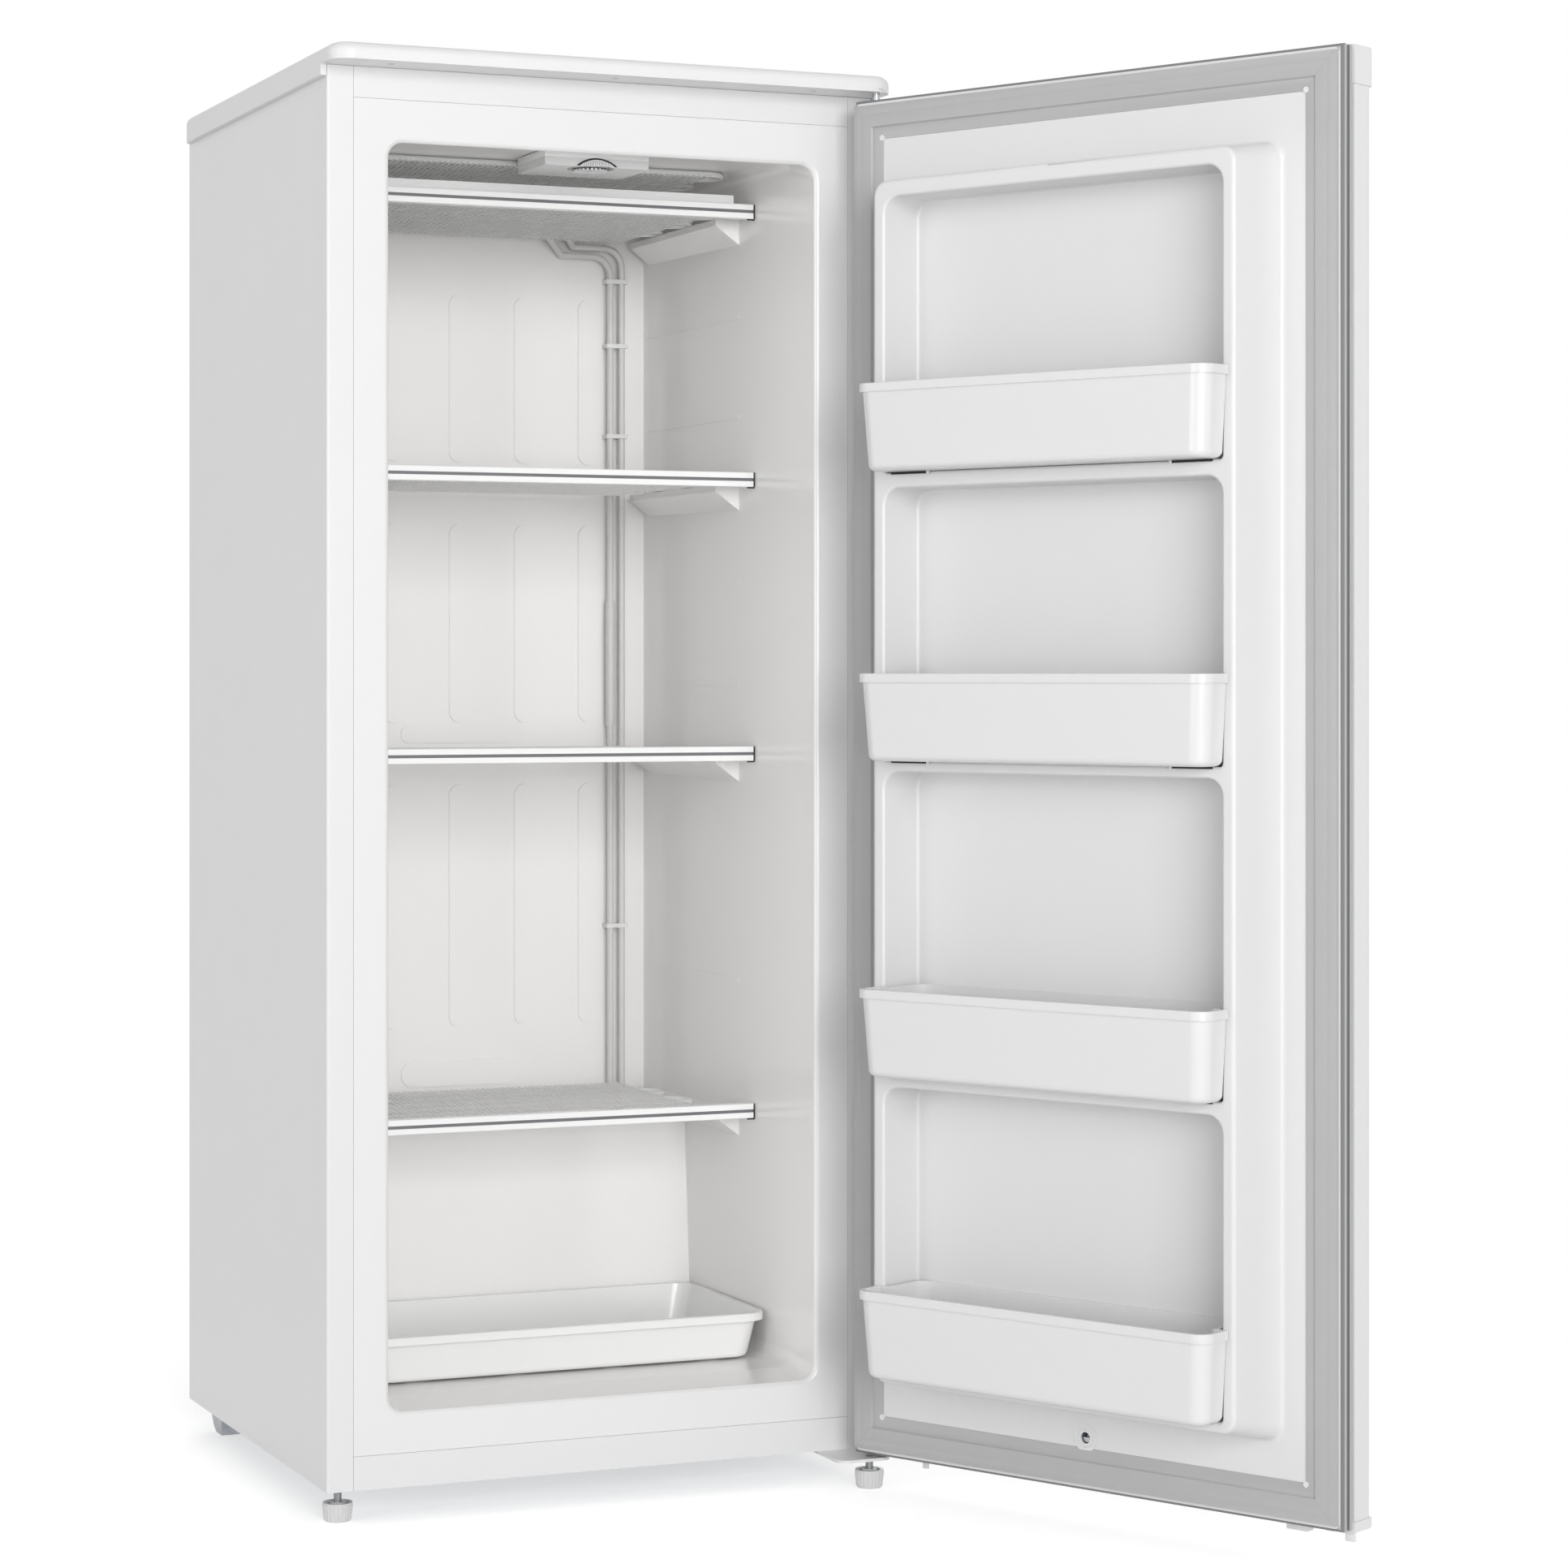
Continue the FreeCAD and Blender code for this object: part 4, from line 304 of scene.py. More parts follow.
def second_tint(material, axis, test, limit, tint, metallic=0.0):
    """Another tint, and perhaps bare metal, on the side of a plane where a test holds."""
    tree = material.node_tree
    shader = tree.nodes["Principled BSDF"]
    place = add(tree, "ShaderNodeTexCoord").outputs["Object"]
    parts = add(tree, "ShaderNodeSeparateXYZ", links={"Vector": place})
    beyond = add(tree, "ShaderNodeMath", {1: limit}, {0: parts.outputs[axis]}, operation=test)
    base = shader.inputs["Base Color"].links[0].from_socket
    blend = add(tree, "ShaderNodeMix", {"B": (*tint, 1.0)}, {"Factor": beyond.outputs[0], "A": base},
                data_type="RGBA")
    tree.links.new(blend.outputs["Result"], shader.inputs["Base Color"])
    if metallic:
        tree.links.new(beyond.outputs[0], shader.inputs["Metallic"])
    return material


def make_finishes(colours):
    """All finishes by name."""
    finishes = (
        # Polyester-coated steel coil: a smooth gloss film with a trace of orange peel.
        surface("coated_steel", colours.steel, (0.26, 0.34, 60), (0.02, 180), (0.012, 2.2), ior=1.5),
        # Injection-moulded ABS with a spark-eroded grain, which breaks its highlights.
        surface("cover_abs", colours.cover, (0.38, 0.46, 25), (0.02, 90), (0.03, 1.1), ior=1.53),
        # Vacuum-formed high-impact polystyrene: glossy, with a slow waviness from the forming.
        # Its flange on the cabinet's front is a little greyer than the deep-drawn walls: painted light on the
        # walls inside and painted shade on the flange, which faces the lamps.
        second_tint(
            surface("liner_hips", colours.liner, (0.15, 0.23, 50), (0.02, 120), (0.06, 45), ior=1.59),
            "Y", "LESS_THAN", 1.5 * MM, colours.flange),
        # The same sheet on the door, stretched less: flatter and a little duller.
        surface("door_liner_hips", colours.door_liner, (0.28, 0.36, 50), (0.02, 120), (0.03, 45), ior=1.59),
        # Injection-moulded polystyrene: smooth and glossy, with sharp highlights on its rims.
        surface("bin_polystyrene", colours.bins, (0.20, 0.28, 30), (0.015, 70), (0.01, 3), ior=1.59),
        # A lighter copy of the bins' polystyrene for the housing's collar and the scale plate: painted light
        # on faces that the top rail shades.
        surface("housing_polystyrene", colours.housing, (0.25, 0.33, 30), (0.01, 70), (0.01, 3), ior=1.59),
        surface("tray_polystyrene", colours.tray, (0.20, 0.28, 30), (0.015, 70), (0.01, 3), ior=1.59),
        # Plasticised PVC: dull, soft-edged and slightly uneven. The thin web between the folds is darker:
        # painted shade in the grooves. The seal's grey also marks the scale plate, as painted shade between
        # the ridges of its wheel.
        surface("seal_web", colours.web, (0.42, 0.55, 12), (0.05, 30), (0.03, 1.6), ior=1.53),
        surface("seal_pvc", colours.seal, (0.42, 0.55, 12), (0.05, 30), (0.03, 1.6), ior=1.53),
        # Rigid PVC extrusion: smooth and bright, with its stripe run in duller.
        surface("trim_pvc", colours.trim, (0.25, 0.33, 20), (0.02, 60), (0.01, 2), ior=1.53),
        surface("stripe_pvc", colours.stripe, (0.35, 0.45, 12), (0.08, 15), (0.01, 2), ior=1.53),
        # Powder coat over steel wire and tube: satin and slightly lumpy. The tube's greyer tint is painted
        # shade behind the wires.
        surface("coated_wire", colours.wire, (0.35, 0.5, 8), (0.06, 20), (0.04, 1.5), ior=1.5),
        surface("coated_tube", colours.coil, (0.35, 0.5, 8), (0.06, 20), (0.04, 2), ior=1.5),
        # Paint over the copper risers: satin, with slow changes of gloss.
        surface("riser_paint", colours.tube, (0.28, 0.42, 10), (0.06, 30), (0.04, 3), ior=1.5),
        # Painted foil tape: crumpled where it was wrapped, so its gloss is broken.
        surface("sleeve_foil", colours.tube, (0.25, 0.45, 5), (0.12, 12), (0.7, 7), ior=1.5),
        galvanised_sheet(colours.zinc),
        # Zinc-plated steel: bright grey with a fine haze.
        surface("plated_steel", colours.zinc, (0.25, 0.4, 4), (0.1, 8), (0.01, 1), metallic=1.0),
        # Polypropylene: waxy and half matt. The stud above the cup is bare steel.
        second_tint(
            surface("foot_polypropylene", colours.foot, (0.4, 0.5, 10), (0.05, 12), (0.03, 1.2), ior=1.49),
            "Z", "GREATER_THAN", 19 * MM, colours.stud, metallic=1.0),
        # Acetal: waxy off-white.
        surface("bushing_acetal", colours.cover, (0.35, 0.42, 8), (0.03, 10), (0.01, 1), ior=1.48),
        urethane_foam(colours.foam),
        # Baked black enamel over a drawn steel can: deep black with clear highlights.
        surface("compressor_enamel", colours.black, (0.25, 0.38, 12), (0.2, 30), (0.05, 3), ior=1.5),
        # Black polypropylene: half matt, and greyer where the light grazes it. The same black stands as
        # painted shade round the dial and in the arch over the scale.
        surface("black_polypropylene", colours.black, (0.4, 0.5, 6), (0.15, 15), (0.04, 1), ior=1.49),
        # Moulded rubber: matt black. The same black stands as painted shade in the slots under the bins'
        # ends.
        surface("black_rubber", colours.black, (0.6, 0.75, 6), (0.2, 8), (0.05, 1), ior=1.52),
        # Ferrite bonded in rubber: matt charcoal with a fine grain.
        surface("bonded_ferrite", colours.black, (0.5, 0.65, 4), (0.2, 6), (0.03, 1), ior=1.55),
        # Copper pipe: warm metal, tarnished in patches.
        surface("copper_pipe", colours.copper, (0.22, 0.45, 14), (0.35, 16), (0.02, 2), metallic=1.0),
    )
    return {finish.name: finish for finish in finishes}


FINISH_OF = {
    "coated_steel": ("side_panel_left", "side_panel_right", "front_top_rail", "front_bottom_rail",
                     "door_skin", "upper_hinge", "lower_hinge"),
    "cover_abs": ("top_cover", "door_cap_top", "door_cap_bottom"),
    "liner_hips": ("inner_liner",),
    "door_liner_hips": ("door_liner",),
    "bin_polystyrene": ("door_bin_1", "door_bin_2", "door_bin_3", "door_bin_4", "thermostat_housing",
                        "thermostat_dial", "riser_clips"),
    "tray_polystyrene": ("bottom_tray",),
    "seal_pvc": ("door_gasket",),
    "trim_pvc": ("shelf_trim_1", "shelf_trim_2", "shelf_trim_3", "shelf_trim_4", "top_shelf_lip"),
    "stripe_pvc": ("shelf_stripes",),
    "coated_wire": SHELVES + ("evaporator_ceiling",),
    "riser_paint": ("riser_tubes",),
    "sleeve_foil": ("joint_sleeve",),
    "galvanised_steel": ("back_panel", "top_plate", "base_plate", "compressor_bay_wall", "machine_rail",
                         "rear_feet"),
    "plated_steel": ("hinge_pins", "hinge_screws", "cover_screws", "lock_plug", "lock_housing"),
    "foot_polypropylene": ("levelling_foot_left", "levelling_foot_right"),
    "bushing_acetal": ("hinge_bushings",),
    "polyurethane_foam": ("cabinet_foam", "door_foam"),
    "compressor_enamel": ("compressor",),
    "black_polypropylene": ("thermostat_switch", "starter_box", "cord_inlet"),
    "black_rubber": ("compressor_grommets",),
    "bonded_ferrite": ("gasket_magnets",),
    "copper_pipe": ("filter_drier", "suction_line", "condenser_tube"),
}


# ---- helpers for pieces -------------------------------------------------------------
def piece(name, bm, body, finish, replaces=(), sharp=35):
    """Turn a bmesh into a piece of the object that rides on a body.

    finish is the name of a finish, or of several in the order of the faces' material indices.
    """
    bmesh.ops.recalc_face_normals(bm, faces=bm.faces)
    if body == "door":
        bmesh.ops.transform(bm, matrix=SWING, verts=bm.verts)
    mesh = bpy.data.meshes.new(name)
    bm.to_mesh(mesh)
    bm.free()
    for material in (finish,) if isinstance(finish, str) else finish:
        mesh.materials.append(bpy.data.materials[material])
    mesh.shade_smooth()
    mesh.set_sharp_from_angle(angle=math.radians(sharp))
    made = bpy.data.objects.new(name, mesh)
    bpy.context.scene.collection.objects.link(made)
    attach(made, body)
    if replaces:
        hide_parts(*replaces)
    return made


def bar(bm, start, end, radius, sides=6):
    """Straight round bar between two points."""
    way = end - start
    turn = way.to_track_quat("Z", "Y").to_matrix().to_4x4()
    bmesh.ops.create_cone(
        bm, cap_ends=True, segments=sides, radius1=radius, radius2=radius, depth=way.length,
        matrix=Matrix.Translation((start + end) / 2) @ turn)


def block(bm, xs, ys, zs, bevel=0.0):
    """Box between three pairs of limits, with bevelled edges if asked."""
    size = Vector((abs(xs[1] - xs[0]), abs(ys[1] - ys[0]), abs(zs[1] - zs[0])))
    centre = Vector((sum(xs), sum(ys), sum(zs))) / 2
    place = Matrix.Translation(centre) @ Matrix.Diagonal(size).to_4x4()
    made = bmesh.ops.create_cube(bm, size=1.0, matrix=place)
    if bevel:
        edges = list({edge for vert in made["verts"] for edge in vert.link_edges})
        bmesh.ops.bevel(bm, geom=edges, offset=bevel, segments=2, profile=0.5, affect="EDGES", material=-1)


def ring(bm, centre, axis, radii, height, steps=48):
    """Flat ring with a square section, turned about an axis."""
    across = axis.orthogonal().normalized()
    corners = [centre + across * radii[0], centre + across * radii[1],
               centre + across * radii[1] + axis * height, centre + across * radii[0] + axis * height]
    verts = [bm.verts.new(corner) for corner in corners]
    edges = [bm.edges.new((verts[i], verts[(i + 1) % 4])) for i in range(4)]
    bmesh.ops.spin(
        bm, geom=verts + edges, cent=centre, axis=axis, angle=math.tau, steps=steps, use_merge=True)


def sweep(bm, start, radius, moves, sides=12):
    """Round tube from start; a move is a vector to go or a (centre, axis, angle) to turn by."""
    turn = moves[0].to_track_quat("Z", "Y").to_matrix().to_4x4()
    rim = bmesh.ops.create_circle(
        bm, segments=sides, radius=radius, matrix=Matrix.Translation(start) @ turn)
    edges = list({edge for vert in rim["verts"] for edge in vert.link_edges})
    first = edges
    for move in moves:
        if isinstance(move, Vector):
            made = bmesh.ops.extrude_edge_only(bm, edges=edges)["geom"]
            verts = {item for item in made if isinstance(item, bmesh.types.BMVert)}
            bmesh.ops.translate(bm, verts=list(verts), vec=move)
            edges = [item for item in made
                     if isinstance(item, bmesh.types.BMEdge) and set(item.verts) <= verts]
        else:
            centre, axis, angle = move
            steps = max(2, round(abs(angle) / BEND_STEP))
            made = bmesh.ops.spin(
                bm, geom=edges, cent=centre, axis=axis, angle=angle, steps=steps)["geom_last"]
            edges = [item for item in made if isinstance(item, bmesh.types.BMEdge)]
    bmesh.ops.holes_fill(bm, edges=first + edges)


def segment(bm, foot, width, height, depth):
    """Upright plate in the shape of a circle's segment, flat side down, that comes forward by depth."""
    radius = (width ** 2 / 4 + height ** 2) / (2 * height)
    centre = foot + Vector((0, 0, height - radius))
    made = bmesh.ops.create_circle(
        bm, cap_ends=True, segments=120, radius=radius,
        matrix=Matrix.Translation(centre) @ Matrix.Rotation(math.radians(90), 4, "X"))
    geom = list({item for vert in made["verts"] for item in (vert, *vert.link_edges, *vert.link_faces)})
    bmesh.ops.bisect_plane(bm, geom=geom, plane_co=foot, plane_no=(0, 0, -1), clear_outer=True)
    made = bmesh.ops.extrude_face_region(bm, geom=list(bm.faces))["geom"]
    front = [item for item in made if isinstance(item, bmesh.types.BMVert)]
    bmesh.ops.translate(bm, verts=front, vec=(0, -depth, 0))


def shut_box(name):
    """Box of a door part, as if the door were shut."""
    corners = [SWING.inverted() @ vert.co for vert in frame["nodes"][name].data.vertices]
    low = Vector([min(corner[i] for corner in corners) for i in range(3)])
    high = Vector([max(corner[i] for corner in corners) for i in range(3)])
    return low, high


# ---- pieces -------------------------------------------------------------------------
class FREEZER_OT_finishes(bpy.types.Operator):
    """Give every carried-over part its finish"""
    bl_idname = "freezer.finishes"
    bl_label = "Finishes"

    def execute(self, context):
        finishes = make_finishes(context.scene.freezer_colours)
        for finish, nodes in FINISH_OF.items():
            for name in nodes:
                part = frame["nodes"][name]
                part.data.materials.clear()
                part.data.materials.append(finishes[finish])
        return {"FINISHED"}


class FREEZER_OT_shelves(bpy.types.Operator):
    """Build the tube-and-wire shelves"""
    bl_idname = "freezer.shelves"
    bl_label = "Wire shelves"

    def execute(self, context):
        sizes = context.scene.freezer_shelves
        for name in SHELVES + ("evaporator_ceiling",):
            bm = bmesh.new()
            low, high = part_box(name)
            ceiling = name == "evaporator_ceiling"
            radius = sizes.tube_radius
            axis = high.z - radius if ceiling else (low.z + high.z) / 2
            rows = self.coil(bm, sizes, low, high, axis)
            for face in bm.faces:
                face.material_index = 1
            layers = [-1] if ceiling else [-1, 1]
            for layer in layers:
                self.wires(bm, sizes, low, high, axis, layer, rows)
            piece(f"wire_{name}", bm, "cabinet", ("coated_wire", "coated_tube"), (name,),
                  sharp=50)
        return {"FINISHED"}

    def coil(self, bm, sizes, low, high, z):
        """Flat serpentine of tube from side to side."""
        radius = sizes.tube_radius
        bend = sizes.tube_pitch / 2
        reach = high.x - radius - bend
        y = low.y + sizes.tube_start
        runs = int((high.y - radius - y) / sizes.tube_pitch) + 1
        side = 1
        moves = [Vector((2 * reach, 0, 0))]
        for i in range(runs - 1):
            centre = Vector((side * reach, y + (i + 0.5) * sizes.tube_pitch, z))
            moves.append((centre, Vector((0, 0, 1)), side * math.pi))
            side = -side
            moves.append(Vector((2 * reach * side, 0, 0)))
        sweep(bm, Vector((-reach, y, z)), radius, moves, sizes.tube_sides)
        return [y + i * sizes.tube_pitch for i in range(runs)]

    def wires(self, bm, sizes, low, high, axis, layer, rows):
        """Wires from front to back on one side of the tubes; paint pools at the lower welds."""
        radius = sizes.wire_radius
        half = high.x - sizes.wire_side
        z = axis + layer * (sizes.tube_radius + radius)
        count = int(half / sizes.wire_pitch)
        for i in range(-count, count + 1):
            x = i * sizes.wire_pitch
            bar(bm, Vector((x, low.y, z)), Vector((x, high.y, z)), radius)
            for y in rows if layer < 0 else ():
                bmesh.ops.create_icosphere(bm, subdivisions=1, radius=sizes.bead,
                                           matrix=Matrix.Translation((x, y, z)))


class FREEZER_OT_seal(bpy.types.Operator):
    """Build the door seal with its bellows, cushion and inner lip"""
    bl_idname = "freezer.seal"
    bl_label = "Door seal"

    def execute(self, context):
        sizes = context.scene.freezer_seal
        low, high = shut_box("door_gasket")
        liner_low, liner_high = shut_box("door_liner")
        depth = high.y - low.y
        back = low.y - liner_low.y
        fold = sizes.fold
        bulb = sizes.bulb
        # Each step is (how far in from the outer edge, how far out from the door): first the folds
        # round the edge of the door liner, then the cushion and the inner lip. The faces that end
        # at the steps listed after the folds carry a darker grey: painted shade in the grooves between the
        # folds.
        folds = (
            (-sizes.edge, -back * 0.97), (-fold, -back * 0.95), (-fold, -back * 0.74),
            (-sizes.web, -back * 0.70), (-sizes.web, -back * 0.52), (-fold, -back * 0.46),
            (-fold * 1.05, -back * 0.22), (-sizes.edge, -back * 0.16), (-sizes.edge, -back * 0.08))
        groove_shade_steps = (3, 4, 7, 8)
        cushion = (
            (-fold * 0.2, 0.0), (-fold * 0.2, depth * 0.4), (0.0, depth * 0.86),
            (fold * 0.4, depth - sizes.crown),
            (bulb * 0.3, depth), (bulb * 0.36, depth - sizes.crown), (bulb * 0.42, depth),
            (bulb * 0.7, depth), (bulb * 0.96, depth - sizes.crown),
            (bulb, depth * 0.7), (bulb * 1.02, depth * 0.55), (bulb * 1.07, depth * 0.6),
            (bulb + sizes.lip * 0.5, depth * 0.42), (bulb + sizes.lip * 0.97, depth * 0.14),
            (bulb + sizes.lip, 0.0))
        steps = [(liner_low, liner_high, step) for step in folds] + [(low, high, step) for step in cushion]
        bm = bmesh.new()
        corners = ((low.x, low.z), (high.x, low.z), (high.x, high.z), (low.x, high.z))
        verts = [bm.verts.new((x, low.y, z)) for x, z in corners]
        edges = [bm.edges.new((verts[i], verts[(i + 1) % 4])) for i in range(4)]
        first = edges
        paths = [[] for _ in verts]
        for i, (box_low, box_high, step) in enumerate(steps):
            if i:
                made = bmesh.ops.extrude_edge_only(bm, edges=edges)["geom"]
                verts = {item for item in made if isinstance(item, bmesh.types.BMVert)}
                edges = [item for item in made
                         if isinstance(item, bmesh.types.BMEdge) and set(item.verts) <= verts]
                for item in made:
                    if isinstance(item, bmesh.types.BMFace):
                        item.material_index = 1 if i in groove_shade_steps else 0
            self.place(verts, box_low, box_high, low.y, step)
            for path, vert in zip(paths, sorted(verts, key=lambda v: (v.co.x > 0, v.co.z))):
                path.append(vert.co.copy())
        bmesh.ops.bridge_loops(bm, edges=first + edges)
        # A weld follows each mitre over the cushion, from its outer side to the end of the lip.
        crown = len(folds) + 2
        for path in paths:
            for start, end in zip(path[crown:-1], path[crown + 1:]):
                bar(bm, start, end, sizes.weld)
        piece("door_seal", bm, "door", ("seal_pvc", "seal_web"), ("door_gasket",), sharp=28)
        self.plugs(sizes, [path[-1] for path in paths], low, high)
        return {"FINISHED"}

    def plugs(self, sizes, corners, low, high):
        """Round plug on the mitre at each inner corner."""
        radius = sizes.plug
        out = radius * 0.4
        plugs = bmesh.new()
        for corner in corners:
            x = corner.x - out if corner.x < 0 else corner.x + out
            z = corner.z - out if corner.z < (low.z + high.z) / 2 else corner.z + out
            bar(plugs, Vector((x, low.y, z)), Vector((x, low.y + radius * 0.7, z)), radius, 24)
        piece("seal_plugs", plugs, "door", "bin_polystyrene")

    def place(self, verts, low, high, foot, step):
        """Move a loop of corners in from the edge of a box and out from the door liner's flange."""
        for vert in verts:
            vert.co.x = low.x + step[0] if vert.co.x < 0 else high.x - step[0]
            vert.co.z = low.z + step[0] if vert.co.z < (low.z + high.z) / 2 else high.z - step[0]
            vert.co.y = foot + step[1]


class FREEZER_OT_details(bpy.types.Operator):
    """Build the small parts of the door, the shelves and the thermostat"""
    bl_idname = "freezer.details"
    bl_label = "Small parts"

    def execute(self, context):
        sizes = context.scene.freezer_details
        self.bin_pads(sizes)
        self.door_tabs(sizes)
        self.lock_boss(sizes)
        self.dial_teeth(sizes)
        self.housing_collar(sizes)
        self.trim_ends(sizes)
        self.riser_ends(sizes)
        return {"FINISHED"}

    def bin_pads(self, sizes):
        """Dark strips under both ends of each bin, painted shade in the slots there, each with a white stop
        at its inner end.
        """
        crest = shut_box("door_liner")[1].y
        back = crest + sizes.air
        depth = sizes.tab / 2
        pads = bmesh.new()
        stops = bmesh.new()
        for i in range(1, 5):
            low, high = shut_box(f"door_bin_{i}")
            top = low.z - sizes.pad_gap
            for side in (-1, 1):
                outer = side * (high.x - sizes.pad_in)
                inner = outer - side * sizes.pad
                block(pads, (inner, outer), (back, crest + depth), (top - sizes.pad_height, top))
                block(stops, (inner - side * sizes.tab, inner), (back, crest + depth * 1.6),
                      (top - sizes.pad_height * 1.5, top))
        piece("bin_pads", pads, "door", "black_rubber")
        piece("bin_pad_stops", stops, "door", "bin_polystyrene")

    def door_tabs(self, sizes):
        """Tabs under the lower cap, sunk a little into it."""
        low, high = shut_box("door_cap_bottom")
        back = high.y - sizes.tab_back
        tabs = bmesh.new()
        for away, width, drop, deep in DOOR_TABS:
            start = low.x + away * MM
            block(tabs, (start, start + width * MM), (back - deep * MM, back),
                  (low.z - drop * MM, low.z + sizes.tab_sink), sizes.tab_edge)
        piece("door_tabs", tabs, "door", "cover_abs")

    def lock_boss(self, sizes):
        """Raised ring in the door liner round the lock's bore."""
        low, high = shut_box("lock_housing")
        face = shut_box("door_gasket")[0].y
        centre = Vector(((low.x + high.x) / 2, face, (low.z + high.z) / 2))
        bm = bmesh.new()
        ring(bm, centre, Vector((0, 1, 0)), (sizes.bore, sizes.boss), sizes.boss_height)
        piece("lock_boss", bm, "door", "door_liner_hips")

    def dial_teeth(self, sizes):
        """Teeth and hub on the underside of the dial, a dark disc behind them and a dark ring round them:
        painted shade between the teeth and in the slot round the dial.
        """
        low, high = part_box("thermostat_dial")
        centre = Vector(((low.x + high.x) / 2, (low.y + high.y) / 2, low.z))
        up = Vector((0, 0, 1))
        reach = (high.x - low.x) / 2
        root, hub, face, tip, clear = (reach * share for share in (0.4, 0.6, 0.97, 0.99, 1.01))
        drop = sizes.tooth * 0.6
        teeth = bmesh.new()
        for i in range(sizes.teeth):
            way = Matrix.Rotation(math.tau * i / sizes.teeth, 3, "Z") @ Vector((1, 0, 0))
            bar(teeth, centre + way * root - up * drop, centre + way * tip - up * drop, sizes.tooth, 8)
        bar(teeth, centre, centre - up * drop * 2, hub, 32)
        piece("dial_teeth", teeth, "dial", "bin_polystyrene")
        disc = bmesh.new()
        bar(disc, centre - up * sizes.air, centre - up * (sizes.air + sizes.disc), face, 48)
        piece("dial_disc", disc, "dial", "black_polypropylene")
        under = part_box("thermostat_housing")[0].z - sizes.slot_depth - sizes.air
        slot = bmesh.new()
        ring(slot, Vector((centre.x, centre.y, under)), up, (clear, clear + sizes.slot), sizes.slot_depth)
        piece("dial_slot", slot, "cabinet", "black_polypropylene")

    def housing_collar(self, sizes):
        """Collar between the thermostat housing and the ceiling, and the scale in an arch at its front."""
        low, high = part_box("thermostat_housing")
        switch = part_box("thermostat_switch")[1].z
        heights = (switch + sizes.switch_gap, high.z - sizes.collar_gap)
        collar = bmesh.new()
        block(collar, (low.x, high.x), (low.y, high.y), heights, sizes.collar_edge)
        piece("housing_collar", collar, "cabinet", "housing_polystyrene")
        middle = sum(corner.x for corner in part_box("thermostat_dial")) / 2
        self.scale(sizes, Vector((middle, low.y, low.z + sizes.arch_up)))

    def scale(self, sizes, foot):
        """Dark arch, the pale plate on it and the plate's marks, from the middle of the arch's foot. They
        stand for a knurled wheel in an opening of the housing's front: the arch is painted shade in that
        opening and the grey marks painted shade between the wheel's ridges.
        """
        inner = sizes.arch_height * 0.78
        arch = bmesh.new()
        segment(arch, foot - Vector((0, sizes.arch_out, 0)), sizes.arch, sizes.arch_height, sizes.arch_depth)
        piece("scale_arch", arch, "cabinet", "black_polypropylene")
        plate = bmesh.new()
        segment(plate, foot - Vector((0, sizes.plate_out, 0)), sizes.arch * 0.84, inner, sizes.plate_depth)
        piece("scale_plate", plate, "cabinet", "housing_polystyrene")
        ticks = bmesh.new()
        back = foot.y - sizes.tick_out
        for i in range(-sizes.ticks, sizes.ticks + 1):
            x = foot.x + i * sizes.tick_pitch
            top = inner * (0.88 - (i / 12) ** 2)
            block(ticks, (x - sizes.tick / 2, x + sizes.tick / 2), (back - sizes.tick_depth, back),
                  (foot.z + top * 0.12, foot.z + top))
        piece("scale_ticks", ticks, "cabinet", "seal_pvc")

    def trim_ends(self, sizes):
        """Dark ends of the shelf trims, each with a small hook underneath."""
        ends = bmesh.new()
        for i in range(1, 5):
            low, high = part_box(f"shelf_trim_{i}")
            for side in (-1, 1):
                edge = side * high.x
                front = low.y - sizes.air
                hook = low.y + sizes.hook_in
                block(ends, (edge - side * sizes.end, edge), (front - sizes.end_depth, front),
                      (low.z, high.z))
                block(ends, (edge - side * sizes.end * 5, edge), (hook, hook + sizes.hook),
                      (low.z - sizes.end, low.z - sizes.air))
        piece("trim_ends", ends, "cabinet", "black_polypropylene")

    def riser_ends(self, sizes):
        """Straight ends that lead the risers to the back run of the top shelf."""
        low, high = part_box("riser_tubes")
        shelf_low, shelf_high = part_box("evaporator_shelf_1")
        radius = sizes.riser
        bm = bmesh.new()
        for along, down in RISER_ENDS:
            start = Vector((low.x + along * MM, (low.y + high.y) / 2, high.z - radius - down * MM))
            end = Vector((start.x - sizes.riser_run - down * MM, shelf_high.y - radius, shelf_low.z + radius))
            bmesh.ops.create_uvsphere(bm, u_segments=16, v_segments=10, radius=radius,
                                      matrix=Matrix.Translation(start))
            bar(bm, start, end, radius, 16)
        piece("riser_ends", bm, "cabinet", "riser_paint", sharp=50)


# ---- stage --------------------------------------------------------------------------
def seen_ray(tree):
    """1 for rays that show the background directly, in a mirror or through glass."""
    path = add(tree, "ShaderNodeLightPath")
    first = add(tree, "ShaderNodeMath", operation="MAXIMUM",
                links={0: path.outputs["Is Camera Ray"], 1: path.outputs["Is Glossy Ray"]})
    both = add(tree, "ShaderNodeMath", operation="MAXIMUM",
               links={0: first.outputs[0], 1: path.outputs["Is Transmission Ray"]})
    return both.outputs[0]


